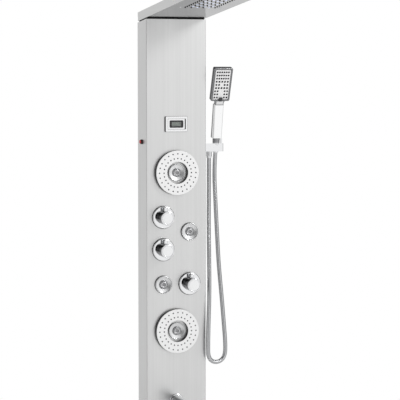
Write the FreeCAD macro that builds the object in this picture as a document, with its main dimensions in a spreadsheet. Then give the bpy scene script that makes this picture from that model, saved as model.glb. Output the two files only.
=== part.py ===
import FreeCAD, Part
import math
import os
import re
import Sketcher
from FreeCAD import Placement, Rotation, Vector

# A wall-held shower panel column. +Z is up, +X is to the right as the user faces it, and the
# wall is the plane Y = 0, so the front of the column looks along -Y. The origin is the middle
# of the upper wall bracket's screw line, on the wall.

os.makedirs("parts", exist_ok=True)
doc = FreeCAD.newDocument("ShowerPanelColumn")

# ---------------------------------------------------------------- driving sizes, millimetres
SIZES = [
    # column
    ("panel_width", 200.0, "column, side to side"),
    ("panel_depth", 92.0, "column, wall to front face"),
    ("panel_height", 1400.0, "column, bottom to the top of its front face"),
    ("sheet_thickness", 1.2, "stainless sheet of column and head"),
    ("panel_edge_radius", 2.5, "outside bend between front and sides"),
    ("return_flange", 16.0, "inward lip along the wall"),
    ("notch_width", 124.0, "notch in the bottom for the supply hoses"),
    ("notch_depth", 56.0, "wall to the front of that notch"),
    ("bracket_drop", 150.0, "top of the front face down to the upper bracket screws"),
    ("lower_bracket_rise", 110.0, "bottom of the column up to the lower bracket screws"),
    ("cradle_gap", 0.4, "clearance of the cone nut in its cradle"),
    ("fit_gap", 0.3, "clearance round what moves"),
    ("hole_gap", 0.5, "clearance of a hole round what passes through it"),
    # wall brackets and the hanger channels that hook on them
    ("bracket_thickness", 2.0, "steel strip of brackets and hangers"),
    ("bracket_length", 160.0, "wall bracket, side to side"),
    ("bracket_below", 18.0, "bracket plate below its screws"),
    ("bracket_above", 14.0, "bracket plate above its screws"),
    ("bracket_hook_depth", 12.0, "wall to the front of the hook"),
    ("bracket_hook_height", 18.0, "upturned lip of the hook"),
    ("bracket_screw_spacing", 120.0, "between the two wall screws"),
    ("bracket_screw_radius", 3.25, "hole for the wall screw"),
    ("hanger_depth", 20.0, "wall to the front web of the hanger"),
    ("hanger_web_below", 20.0, "hanger web below the bracket screws"),
    # rain head
    ("head_length", 550.0, "head, back edge to front edge"),
    ("head_thickness", 28.0, "head, top to underside"),
    ("head_slope", 5.6, "degrees that the head rises to the front"),
    ("head_gap", 4.0, "shadow gap between column and head"),
    ("head_edge_radius", 2.0, "upright edges of the head shell"),
    ("head_plate_thickness", 1.5, "spray plate"),
    ("spacer_recess", 4.0, "spacer set back from the outer faces"),
    ("nozzle_start", 328.0, "back edge of the head to the first nozzle row"),
    ("nozzle_pitch", 19.0, "spacing of nozzles and lights"),
    ("head_nozzle_radius", 2.6, "silicone nozzle of the head"),
    ("head_nozzle_height", 2.5, "nozzle below the spray plate"),
    ("lens_radius", 4.0, "light lens in the spray plate"),
    ("lens_height", 0.8, "lens below the spray plate"),
    ("chamber_margin", 14.0, "water chamber beyond the outer nozzles"),
    ("chamber_height", 16.0, "water chamber above the spray plate"),
    ("plate_screw_offset", 63.5, "spray plate screws, from the middle"),
    ("plate_screw_radius", 3.0, "screw head"),
    ("plate_screw_height", 1.6, "screw head below the spray plate"),
    ("inlet_setback", 46.0, "back edge of the head to its inlet"),
    ("inlet_width", 26.0, "square opening for the inlet"),
    # display
    ("display_drop", 332.0, "top of the front face to the display's middle"),
    ("bezel_width", 74.0, "display bezel"),
    ("bezel_height", 50.0, "display bezel"),
    ("bezel_stand", 4.0, "bezel in front of the panel"),
    ("window_width", 38.6, "display window"),
    ("window_height", 21.0, "display window"),
    ("window_corner", 2.5, "cut corners of the window"),
    ("window_thickness", 2.0, "clear window"),
    ("module_margin", 8.0, "display module beyond the window"),
    ("module_depth", 16.0, "display module behind the panel face"),
    # side switch
    ("switch_drop", 389.0, "top of the front face to the side switch"),
    ("switch_radius", 7.5, "switch bezel"),
    ("switch_stand", 5.0, "switch bezel outside the panel"),
    ("switch_cap_radius", 5.5, "red cap"),
    ("switch_cap_stand", 3.5, "cap outside its bezel"),
    ("switch_travel", 1.5, "press of the cap"),
    ("switch_body_radius", 6.0, "switch body through the panel"),
    ("switch_body_length", 16.0, "switch body inside the panel"),
    # massage rings
    ("upper_ring_drop", 487.0, "top of the front face to the upper ring"),
    ("lower_ring_drop", 996.0, "top of the front face to the lower ring"),
    ("ring_radius", 71.0, "massage ring, outside"),
    ("ring_bore_radius", 35.0, "massage ring, inside"),
    ("ring_stand", 16.0, "front of the ring from the panel"),
    ("ring_plate_thickness", 2.5, "perforated plate"),
    ("ring_hole_radius", 1.9, "spray hole"),
    ("ring_hole_count", 24, "holes on each circle"),
    ("inner_hole_circle", 45.8, "radius of the inner circle of holes"),
    ("outer_hole_circle", 60.8, "radius of the outer circle of holes"),
    ("stud_radius", 4.0, "studs behind a ring"),
    ("stud_offset", 53.0, "studs from the ring's middle"),
    ("stud_length", 9.0, "stud behind the panel face"),
    ("nut_height", 6.0, "nut inside the panel"),
    ("nut_radius", 8.0, "nut of a stud, across corners"),
    ("thread_gap", 0.05, "clearance of a nut on its thread"),
    # swivel jets
    ("right_jet_drop", 677.0, "top of the front face to the right jet"),
    ("left_jet_drop", 845.0, "top of the front face to the left jet"),
    ("side_column", 44.0, "knobs and jets from the middle line"),
    ("jet_radius", 28.0, "jet rim"),
    ("jet_stand", 8.0, "jet rim from the panel"),
    ("jet_rim", 1.5, "width of the flat rim"),
    ("jet_throat", 2.5, "inner edge of the dish from the panel"),
    ("ball_radius", 12.5, "swivel nozzle"),
    ("ball_setback", 2.0, "ball centre behind the panel face"),
    ("ball_front", 9.0, "ball centre to its flat front"),
    ("ball_back", 6.5, "ball centre to its flat back"),
    ("ball_bore_radius", 4.5, "water way of the swivel nozzle"),
    ("ball_bore_depth", 7.0, "visible depth of that water way"),
    ("ball_lip", 0.4, "how far the dish closes over the ball"),
    ("jet_wall", 2.4, "wall of the jet body"),
    ("jet_nut_radius", 20.0, "ring nut of a jet, across corners"),
    # knobs
    ("temperature_drop", 629.0, "top of the front face to the temperature knob"),
    ("flow_drop", 733.0, "top of the front face to the flow knob"),
    ("diverter_drop", 845.0, "top of the front face to the diverter knob"),
    ("flange_radius", 36.0, "knob flange"),
    ("flange_stand", 7.0, "flange front from the panel"),
    ("flange_chamfer", 3.0, "slope round the flange's front"),
    ("knob_radius", 22.0, "knob"),
    ("knob_length", 42.0, "knob"),
    ("knob_gap", 0.5, "between flange and knob"),
    ("tab_width", 11.0, "thumb tab"),
    ("tab_length", 16.0, "thumb tab along the knob"),
    ("tab_reach", 34.5, "knob axis to the top of the tab"),
    ("tab_crown", 6.2, "radius over the top of the tab"),
    ("tab_setback", 6.0, "back of the knob to the tab"),
    ("spindle_radius", 5.0, "valve spindle"),
    ("cartridge_radius", 15.0, "valve cartridge"),
    ("cartridge_neck_radius", 11.5, "cartridge neck through the flange"),
    ("cartridge_depth", 42.0, "panel face to the back of the cartridge"),
    ("spindle_depth", 24.0, "spindle behind the panel face"),
    # brass valve body
    ("valve_width", 30.0, "brass block"),
    ("channel_width", 18.0, "brass channel between blocks"),
    ("valve_overhang", 22.0, "brass block beyond the cartridge axis"),
    ("riser_width", 14.0, "brass riser to the jets"),
    ("jet_feed_width", 12.0, "arm of the riser behind a jet"),
    ("nipple_forward", 3.0, "supply nipples from the middle of the block"),
    ("nipple_radius", 10.48, "G1/2 male thread, major diameter 20.955"),
    ("nipple_length", 14.0, "G1/2 male thread"),
    # spout
    ("spout_drop", 1225.0, "top of the front face to the spout"),
    ("spout_flange_radius", 24.0, "spout flange"),
    ("spout_flange_stand", 4.0, "spout flange front from the panel"),
    ("spout_radius", 20.0, "spout body"),
    ("spout_length", 118.0, "spout front from the panel"),
    ("spout_chamfer", 1.5, "edge of the spout's nose"),
    ("outlet_setback", 20.0, "spout nose to the outlet's axis"),
    ("outlet_radius", 14.0, "outlet collar"),
    ("outlet_drop", 26.0, "spout axis to the mouth"),
    ("aerator_radius", 12.0, "aerator, M24"),
    ("aerator_height", 8.0, "aerator in the collar"),
    ("spout_tail_radius", 10.0, "spout inlet through the panel"),
    ("spout_tail_length", 24.0, "spout inlet behind the panel face"),
    # hand shower holder
    ("holder_drop", 410.0, "top of the front face to the holder's middle"),
    ("holder_height", 26.0, "holder bar"),
    ("holder_depth", 26.0, "holder bar, front to back"),
    ("holder_reach", 72.0, "holder bar beyond the panel's side"),
    ("holder_setback", 46.0, "wall to the holder's middle"),
    ("holder_corner", 4.0, "rounding of the bar's end"),
    ("holder_tail_width", 16.0, "holder inlet through the side"),
    ("holder_tail_length", 14.0, "holder inlet inside the panel"),
    ("cradle_offset", 49.0, "panel's side to the cradle's axis"),
    ("cradle_slot", 15.5, "rear slot that passes the hose"),
    ("lip_offset", 17.2, "cradle's axis to the upright lip"),
    ("lip_thickness", 3.5, "upright lip"),
    ("lip_width", 12.0, "upright lip, front to back"),
    ("lip_rise", 16.0, "upright lip above the bar"),
    ("outlet_offset", 26.0, "panel's side to the hose outlet's axis"),
    ("hose_nut_radius", 9.5, "nut under the outlet"),
    ("hose_nut_length", 22.0, "nut under the outlet"),
    ("hose_radius", 7.0, "shower hose, 14 mm outside"),
    # hand shower
    ("handset_lean", 11.0, "degrees that the handle leans forward"),
    ("cone_bottom_radius", 9.8, "cone nut, lower end"),
    ("cone_top_radius", 11.6, "cone nut, where it leaves the cradle"),
    ("cone_foot", 17.0, "cradle middle down to the cone's lower end"),
    ("cone_head", 17.0, "cradle middle up to the handle"),
    ("handle_length", 124.0, "handle"),
    ("handle_foot_width", 31.0, "handle, lower end"),
    ("handle_foot_depth", 22.0, "handle, lower end"),
    ("handle_top_width", 32.0, "handle at the neck"),
    ("handle_top_depth", 17.0, "handle at the neck"),
    ("handle_corner", 5.0, "cut corners of the handle"),
    ("handset_tilt", 19.6, "degrees that the spray face leans forward"),
    ("spray_width", 64.0, "spray head"),
    ("spray_height", 112.0, "spray head"),
    ("spray_depth", 13.0, "white back shell of the spray head"),
    ("spray_corner", 4.0, "cut corners of the spray head"),
    ("neck_width", 30.0, "chrome neck under the spray head"),
    ("neck_height", 18.0, "chrome neck under the spray head"),
    ("chin_foot", 5.0, "neck's foot to the chrome chin"),
    ("rim_width", 6.5, "chrome rim round the face"),
    ("rim_height", 5.0, "chrome rim"),
    ("rim_bevel", 3.0, "bevel of the chrome rim"),
    ("face_thickness", 3.5, "face plate in the rim"),
    ("spray_nozzle_radius", 1.5, "silicone nozzle of the hand shower"),
    ("spray_nozzle_height", 1.2, "nozzle above the face"),
    ("spray_row_start", 9.0, "lower edge of the spray head to the last row"),
    ("spray_row_pitch", 10.65, "rows of nozzles"),
    ("selector_width", 12.0, "spray selector"),
    ("selector_height", 13.0, "spray selector"),
    ("selector_depth", 4.0, "spray selector"),
    ("selector_foot", 0.5, "selector above the spray head's lower edge"),
    ("selector_travel", 9.0, "selector's slide"),
    ("selector_stem", 4.0, "stem of the selector in its slot"),
    # pipes inside the column
    ("feed_radius", 6.0, "feed pipe"),
    ("feed_lane", 70.0, "head feed pipe from the middle line"),
    ("feed_depth", 44.0, "wall to the head feed pipe at the hanger"),
]

sheet = doc.addObject("Spreadsheet::Sheet", "Sizes")
for row, (alias, number, note) in enumerate(SIZES, start=1):
    sheet.set(f"A{row}", note)
    sheet.set(f"B{row}", str(number))
    sheet.setAlias(f"B{row}", alias)
doc.recompute()

ALIASES = {alias for alias, _number, _note in SIZES}
TOP = "bracket_drop"
BOTTOM = "(bracket_drop - panel_height)"
FRONT = "(-panel_depth)"
SIDE = "(panel_width / 2)"
HEAD_RISE = "tan(head_slope)"
HEAD_BACK = "(-head_thickness * sin(head_slope))"

# faces round each kind of round piece, few so that the whole part stays light
NUB_SIDES = 4
JET_SIDES = 18
BALL_SIDES = 18
RING_SIDES = 36
ROSETTE_SIDES = 32
KNOB_SIDES = 32
SPOUT_SIDES = 28
CONE_SIDES = 24
HIDDEN_SIDES = 12

HEAD_FOOT = f"(bracket_drop + head_gap + ({FRONT} - {HEAD_BACK}) * {HEAD_RISE})"

# turns that bring a piece's own +Z axis to face the named way
UP = Rotation()
FORWARD = Rotation(Vector(1, 0, 0), 90)
BACKWARD = Rotation(Vector(1, 0, 0), -90)
RIGHT = Rotation(Vector(0, 1, 0), 90)
LEFT = Rotation(Vector(0, 1, 0), -90)
DOWN = Rotation(Vector(1, 0, 0), 180)


def bind(text):
    """The same expression with each size's name pointing at its cell."""
    return re.sub(r"[a-z_]+", lambda m: f"Sizes.{m[0]}" if m[0] in ALIASES else m[0], str(text))


def value(text):
    """What an expression of the sheet's sizes comes to now."""
    return float(sheet.evalExpression(bind(text)))


def below_top(drop):
    return f"(bracket_drop - {drop})"


# ---------------------------------------------------------------- helpers that make objects
def place(piece, at=("0", "0", "0"), turn=UP, lean=None):
    """Seats a piece by the sheet: at is its place, lean an angle from the sheet about +X."""
    if lean is not None:
        turn = Rotation(Vector(1, 0, 0), value(lean))
    piece.Placement = Placement(Vector(*[value(a) for a in at]), turn)
    for axis, text in zip("xyz", at):
        piece.setExpression(f"Placement.Base.{axis}", bind(text))
    return piece


def arc_centre(start, end, radius):
    """Centre of the arc from start to end; a positive radius turns left, a negative right."""
    chord = end - start
    middle = (start + end) * 0.5
    height = math.sqrt(max(radius * radius - chord.Length * chord.Length / 4, 0.0))
    left = Vector(-chord.y, chord.x, 0).normalize()
    return middle + left * math.copysign(height, radius)


def draw(body, plane, loops, lift="0"):
    """A sketch on an origin plane. Each point and radius is a dimension bound to the sheet.

    A loop is ("circle", x, y, radius) or a list of corners (x, y) in order; a corner
    (x, y, radius) starts an arc to the next one."""
    sketch = body.newObject("Sketcher::SketchObject", "Sketch")
    support = next(f for f in body.Origin.OriginFeatures if f.Role == plane)
    sketch.AttachmentSupport = [(support, "")]
    sketch.MapMode = "FlatFace"
    sketch.setExpression("AttachmentOffset.Base.z", bind(lift))

    def hold(kind, *where_and_text):
        *where, text = where_and_text
        index = sketch.addConstraint(Sketcher.Constraint(kind, *where, value(text)))
        sketch.renameConstraint(index, f"d{index}")
        sketch.setExpression(f"Constraints.d{index}", bind(text))

    for loop in loops:
        if loop[0] == "circle":
            _kind, x, y, radius = loop
            circle = Part.Circle(Vector(value(x), value(y), 0), Vector(0, 0, 1), value(radius))
            index = sketch.addGeometry(circle, False)
            hold("DistanceX", -1, 1, index, 3, x)
            hold("DistanceY", -1, 1, index, 3, y)
            hold("Radius", index, radius)
            continue
        points = [Vector(value(corner[0]), value(corner[1]), 0) for corner in loop]
        starts, ends, edges = [], [], []
        for i, corner in enumerate(loop):
            start, end = points[i], points[(i + 1) % len(points)]
            if len(corner) == 2:
                edges.append(sketch.addGeometry(Part.LineSegment(start, end), False))
                starts.append(1)
                ends.append(2)
                continue
            radius = value(corner[2])
            centre = arc_centre(start, end, radius)
            first, last = (start, end) if radius > 0 else (end, start)
            circle = Part.Circle(centre, Vector(0, 0, 1), abs(radius))
            angles = [math.atan2(p.y - centre.y, p.x - centre.x) for p in (first, last)]
            if angles[1] < angles[0]:
                angles[1] += 2 * math.pi
            edges.append(sketch.addGeometry(Part.ArcOfCircle(circle, *angles), False))
            starts.append(1 if radius > 0 else 2)
            ends.append(2 if radius > 0 else 1)
        for i, edge in enumerate(edges):
            j = (i + 1) % len(edges)
            sketch.addConstraint(Sketcher.Constraint("Coincident", edge, ends[i], edges[j], starts[j]))
        for i, (edge, corner) in enumerate(zip(edges, loop)):
            hold("DistanceX", -1, 1, edge, starts[i], corner[0])
            hold("DistanceY", -1, 1, edge, starts[i], corner[1])
            if len(corner) == 3:
                hold("Radius", edge, f"abs({corner[2]})")
    return sketch


def rectangle(x_low, y_low, x_high, y_high):
    return [(x_low, y_low), (x_high, y_low), (x_high, y_high), (x_low, y_high)]


def cornered(x, y, width, height, corner):
    """A rectangle round (x, y) with its corners cut off."""
    left, right = f"({x} - {width} / 2)", f"({x} + {width} / 2)"
    low, high = f"({y} - {height} / 2)", f"({y} + {height} / 2)"
    return [
        (f"{left} + {corner}", low), (f"{right} - {corner}", low), (right, f"{low} + {corner}"),
        (right, f"{high} - {corner}"), (f"{right} - {corner}", high), (f"{left} + {corner}", high),
        (left, f"{high} - {corner}"), (left, f"{low} + {corner}"),
    ]


def polygon(sides, x, y, across_flats):
    """A regular polygon round (x, y) that clears a circle of radius across_flats."""
    corners = []
    for k in range(sides):
        angle = (k + 0.5) * 360 / sides
        reach = f"({across_flats}) / cos({180 / sides})"
        corners.append((f"{x} + {reach} * cos({angle})", f"{y} + {reach} * sin({angle})"))
    return corners


def new_body(label=None):
    body = doc.addObject("PartDesign::Body", label or "Body")
    if label:
        body.Label = label
    return body


def pad(body, plane, loops, length, lift="0", reverse=False, middle=False):
    feature = body.newObject("PartDesign::Pad", "Pad")
    feature.Profile = draw(body, plane, loops, lift)
    feature.setExpression("Length", bind(length))
    feature.Reversed = reverse
    feature.SideType = "Symmetric" if middle else "One side"
    return feature


def pocket(body, plane, loops, length, lift="0", reverse=False, middle=False):
    """A cut that must take something off, so the volume is compared."""
    doc.recompute()
    before = body.Shape.Volume
    feature = body.newObject("PartDesign::Pocket", "Pocket")
    feature.Profile = draw(body, plane, loops, lift)
    feature.setExpression("Length", bind(length))
    feature.Reversed = reverse
    feature.SideType = "Symmetric" if middle else "One side"
    doc.recompute()
    if body.Shape.Volume >= before:
        raise ValueError(f"a pocket of {body.Label} cuts nothing")
    return feature


def turned(label, profile, at=("0", "0", "0"), turn=UP, lean=None):
    """A piece turned round its own Z axis; profile is a loop of (radius, height)."""
    body = new_body(label)
    sketch = draw(body, "XZ_Plane", [profile])
    feature = body.newObject("PartDesign::Revolution", "Revolution")
    feature.Profile = sketch
    feature.ReferenceAxis = (sketch, ["V_Axis"])
    feature.Angle = 360
    place(body, at, turn, lean)
    return body


def dress(body, kind, size, chosen):
    """Fillets or chamfers the edges of the body's tip that the test picks."""
    doc.recompute()
    base = body.Tip
    names = [f"Edge{i}" for i, edge in enumerate(base.Shape.Edges, start=1) if chosen(edge)]
    feature = body.newObject(f"PartDesign::{kind}", kind)
    feature.Base = (base, names)
    feature.setExpression("Radius" if kind == "Fillet" else "Size", bind(size))
    return feature


def along(edge, axis):
    """True for a straight edge along X, Y or Z."""
    if not isinstance(edge.Curve, Part.Line):
        return False
    direction = edge.tangentAt(edge.FirstParameter)
    return abs(abs(direction["XYZ".index(axis)]) - 1) < 1e-6


def cylinder(radius, height, at, turn=UP):
    piece = doc.addObject("Part::Cylinder", "Cylinder")
    piece.setExpression("Radius", bind(radius))
    piece.setExpression("Height", bind(height))
    return place(piece, at, turn)


def prism(sides, radius, height, at, turn=UP, lean=None):
    piece = doc.addObject("Part::Prism", "Prism")
    piece.setExpression("Polygon", bind(sides))
    piece.setExpression("Circumradius", bind(radius))
    piece.setExpression("Height", bind(height))
    return place(piece, at, turn, lean)


def block(x, y, z, at):
    """A box centred on at."""
    piece = doc.addObject("Part::Box", "Box")
    for side, text in (("Length", x), ("Width", y), ("Height", z)):
        piece.setExpression(side, bind(text))
    return place(piece, [f"{a} - ({size}) / 2" for a, size in zip(at, (x, y, z))])


def clear_of(radius, sides):
    """Corner radius of a many-sided hole that clears a round piece of that radius."""
    return f"(({radius}) / cos({180 / sides}))"


def faceted(label, sides, profile):
    """A many-sided solid of revolution from a closed profile of (radius, height) corners."""
    rings = []
    for radius, height in profile:
        r, z = value(radius), value(height)
        ring = [Vector(0, 0, z)]
        if r > 0:
            angles = [2 * math.pi * (k + 0.5) / sides for k in range(sides)]
            ring = [Vector(r * math.cos(a), r * math.sin(a), z) for a in angles]
        rings.append(ring)
    faces = []
    for one, two in zip(rings, rings[1:] + rings[:1]):
        if len(one) == len(two) == 1:
            continue
        if abs(one[0].z - two[0].z) < 1e-6:
            loops = [ring for ring in (one, two) if len(ring) > 1]
            loops.sort(key=lambda ring: -ring[0].Length)
            wires = [Part.makePolygon(ring + [ring[0]]) for ring in loops]
            face = Part.Face(wires[0])
            faces.append(face.cut(Part.Face(wires[1])).Faces[0] if len(wires) > 1 else face)
            continue
        for k in range(sides):
            n = (k + 1) % sides
            corners = [one[k], one[n], two[n], two[k]]
            faces.append(Part.Face(Part.makePolygon(corners + [corners[0]])))
    solid = Part.Solid(Part.Shell(faces))
    if solid.Volume < 0:
        solid.reverse()
    piece = doc.addObject("Part::Feature", label)
    piece.Label = label
    piece.Shape = solid
    return piece


def group(label, pieces):
    """Separate solids that share one node."""
    compound = doc.addObject("Part::Compound", label)
    compound.Label = label
    compound.Links = pieces
    return compound


def fused(label, pieces):
    union = doc.addObject("Part::MultiFuse", label)
    union.Label = label
    union.Shapes = pieces
    union.Refine = True
    return union


def cut(label, base, tool):
    result = doc.addObject("Part::Cut", label)
    result.Label = label
    result.Base = base
    result.Tool = tool
    return result


def bent_tube(label, points, radius, sides):
    """A many-sided tube along straight runs joined by tangent arcs; prints its tightest arc."""
    edges, radii, start = [], [], points[0]
    for before, corner, after in zip(points, points[1:], points[2:]):
        run_in, run_out = corner - before, after - corner
        turn = run_in.getAngle(run_out)
        setback = 0.45 * min(run_in.Length, run_out.Length)
        radii.append(setback / math.tan(turn / 2))
        first = corner - run_in.normalize() * setback
        last = corner + run_out.normalize() * setback
        bisector = ((first + last) * 0.5 - corner).normalize()
        centre = corner + bisector * (radii[-1] / math.cos(turn / 2))
        halfway = centre - bisector * radii[-1]
        edges.append(Part.LineSegment(start, first).toShape())
        edges.append(Part.Arc(first, halfway, last).toShape())
        start = last
    edges.append(Part.LineSegment(start, points[-1]).toShape())
    path = Part.Wire(edges)
    axis = (points[1] - points[0]).normalize()
    across = axis.cross(Vector(0, 1, 0) if abs(axis.y) < 0.9 else Vector(1, 0, 0)).normalize()
    other = axis.cross(across)
    corners = []
    for k in range(sides):
        angle = 2 * math.pi * (k + 0.5) / sides
        corners.append(points[0] + across * (radius * math.cos(angle)) + other * (radius * math.sin(angle)))
    section = Part.makePolygon(corners + [corners[0]])
    tube = path.makePipeShell([section], True, False)
    expected = Part.Face(section).Area * path.Length
    print(f"{label}: length {path.Length:.0f}, tightest arc {min(radii):.0f}, "
          f"volume over section times length {tube.Volume / expected:.4f}")
    piece = doc.addObject("Part::Feature", label)
    piece.Label = label
    piece.Shape = tube
    return piece


nodes = []


def keep(*pieces):
    nodes.extend(pieces)


# ---------------------------------------------------------------- column
def slope_at(y):
    """Height of the column's sloped top edge at depth y."""
    return f"({TOP} + ({FRONT} - ({y})) * {HEAD_RISE})"


def panel_shell():
    body = new_body("panel_shell")
    wall, lip = "sheet_thickness", "return_flange"
    section = [
        (f"-{SIDE} + {lip}", "0"), (f"-{SIDE}", "0"), (f"-{SIDE}", FRONT),
        (SIDE, FRONT), (SIDE, "0"), (f"{SIDE} - {lip}", "0"),
        (f"{SIDE} - {lip}", f"-{wall}"), (f"{SIDE} - {wall}", f"-{wall}"),
        (f"{SIDE} - {wall}", f"{FRONT} + {wall}"), (f"-{SIDE} + {wall}", f"{FRONT} + {wall}"),
        (f"-{SIDE} + {wall}", f"-{wall}"), (f"-{SIDE} + {lip}", f"-{wall}"),
    ]
    pad(body, "XY_Plane", [section], "panel_height", BOTTOM)
    edge = value(SIDE)
    front = value(FRONT)
    bend = value(wall)

    def outer_bend(line):
        at = line.CenterOfMass
        return along(line, "Z") and abs(abs(at.x) - edge) < 1e-3 and abs(at.y - front) < 1e-3

    def inner_bend(line):
        at = line.CenterOfMass
        return along(line, "Z") and abs(abs(at.x) - edge + bend) < 1e-3 and abs(at.y - front - bend) < 1e-3

    dress(body, "Fillet", "panel_edge_radius", outer_bend)
    dress(body, "Fillet", f"panel_edge_radius - {wall}", inner_bend)
    # the bottom and the sloped top are folded in from the front sheet; supply hoses enter by a notch in the bottom
    left, right, fore, aft = f"-{SIDE} + {wall}", f"{SIDE} - {wall}", f"{FRONT} + {wall}", f"-{wall}"
    inside = [
        (left, fore), (right, fore), (right, aft), ("notch_width / 2", aft), ("notch_width / 2", "-notch_depth"),
        ("-notch_width / 2", "-notch_depth"), ("-notch_width / 2", aft), (left, aft)]
    pad(body, "XY_Plane", [inside], wall, BOTTOM)
    above = [("1", f"{slope_at('1')}"), (f"{FRONT} - 1", f"{slope_at(FRONT + ' - 1')}"),
             (f"{FRONT} - 1", f"{TOP} + 1"), ("1", f"{TOP} + 1")]
    pocket(body, "YZ_Plane", [above], "panel_width + 2", middle=True)
    lid = [(f"-{wall}", slope_at(f"-{wall}")), (f"-{wall}", f"{slope_at(f'-{wall}')} - {wall}"),
           (f"{FRONT} + {wall}", f"{slope_at(f'{FRONT} + {wall}')} - {wall}"),
           (f"{FRONT} + {wall}", slope_at(f"{FRONT} + {wall}"))]
    pad(body, "YZ_Plane", [lid], f"panel_width - 2 * {wall}", middle=True)
    inlet_y = f"({HEAD_BACK} - inlet_setback)"
    inlet = rectangle("-inlet_width / 2", f"{inlet_y} - inlet_width / 2", "inlet_width / 2",
                      f"{inlet_y} + inlet_width / 2")
    pocket(body, "XY_Plane", [inlet], "panel_depth", f"{TOP} - panel_depth / 2", reverse=True)
    front_holes(body)
    height = below_top("holder_drop")
    half = "(holder_tail_width / 2 + hole_gap)"
    right = rectangle(f"-holder_setback - {half}", f"{height} - {half}", f"-holder_setback + {half}",
                      f"{height} + {half}")
    pocket(body, "YZ_Plane", [right], "panel_width", reverse=True)
    left = polygon(8, "-holder_setback", below_top("switch_drop"), "switch_body_radius + hole_gap")
    pocket(body, "YZ_Plane", [left], "panel_width")
    keep(body)


def front_holes(body):
    """Everything that passes through the front sheet."""
    gap = "hole_gap"
    module_w = f"(window_width + 2 * module_margin + 2 * {gap})"
    module_h = f"(window_height + 2 * module_margin + 2 * {gap})"
    z = below_top("display_drop")
    loops = [rectangle(f"-{module_w} / 2", f"{z} - {module_h} / 2", f"{module_w} / 2", f"{z} + {module_h} / 2")]
    for drop in ("upper_ring_drop", "lower_ring_drop"):
        loops.append(polygon(8, "0", below_top(drop), f"{JET_BODY_RADIUS} + {gap}"))
        for side in ("", "-"):
            loops.append(polygon(6, f"{side}stud_offset", below_top(drop), f"stud_radius + {gap}"))
    loops.append(polygon(8, "side_column", below_top("right_jet_drop"), f"{JET_BODY_RADIUS} + {gap}"))
    loops.append(polygon(8, "-side_column", below_top("left_jet_drop"), f"{JET_BODY_RADIUS} + {gap}"))
    for name, side in KNOBS:
        x = f"{side}side_column"
        loops.append(polygon(8, x, below_top(f"{name}_drop"), f"cartridge_neck_radius + {gap}"))
    loops.append(polygon(8, "0", below_top("spout_drop"), f"spout_tail_radius + {gap}"))
    pocket(body, "XZ_Plane", loops, "panel_depth + 1", reverse=True)


def strip(label, section, length, height):
    """A folded strip that lies across the column; section is a loop of (y, z)."""
    body = new_body(label)
    pad(body, "YZ_Plane", [section], length, middle=True)
    place(body, ("0", "0", height))
    return body


def brackets():
    t = "bracket_thickness"
    hook = "bracket_hook_depth"
    shelf = "bracket_above"
    lip_top = f"({shelf} + bracket_hook_height)"
    bracket = [
        ("0", "-bracket_below"), ("0", shelf), (f"-{hook} + {t}", shelf), (f"-{hook} + {t}", lip_top),
        (f"-{hook}", lip_top), (f"-{hook}", f"{shelf} - {t}"), (f"-{t}", f"{shelf} - {t}"),
        (f"-{t}", "-bracket_below"),
    ]
    inner = f"(-{hook} + 2 * {t})"
    web = "(-hanger_depth)"
    hanger = [
        (inner, shelf), (inner, f"{lip_top} + {t}"), (web, f"{lip_top} + {t}"),
        (web, "-hanger_web_below"), (f"{web} + {t}", "-hanger_web_below"),
        (f"{web} + {t}", lip_top), (f"{inner} - {t}", lip_top), (f"{inner} - {t}", shelf),
    ]
    plates = []
    for name, height in (("upper", "0"), ("lower", f"({BOTTOM} + lower_bracket_rise)")):
        plate = strip(f"{name}_bracket_plate", bracket, "bracket_length", height)
        holes = [("circle", f"{side}bracket_screw_spacing / 2", "0", "bracket_screw_radius") for side in ("", "-")]
        pocket(plate, "XZ_Plane", holes, f"{t} + 1", "-0.5", reverse=True)
        plates.append(plate)
        keep(strip(f"{name}_hanger", hanger, "panel_width - 2 * sheet_thickness", height))
    keep(group("wall_brackets", plates))


# ---------------------------------------------------------------- rain head
def on_head(piece):
    """Seats a piece of the head: its own -Y runs along the rising underside."""
    return place(piece, ("0", HEAD_BACK, HEAD_FOOT), lean="-head_slope")


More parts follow.
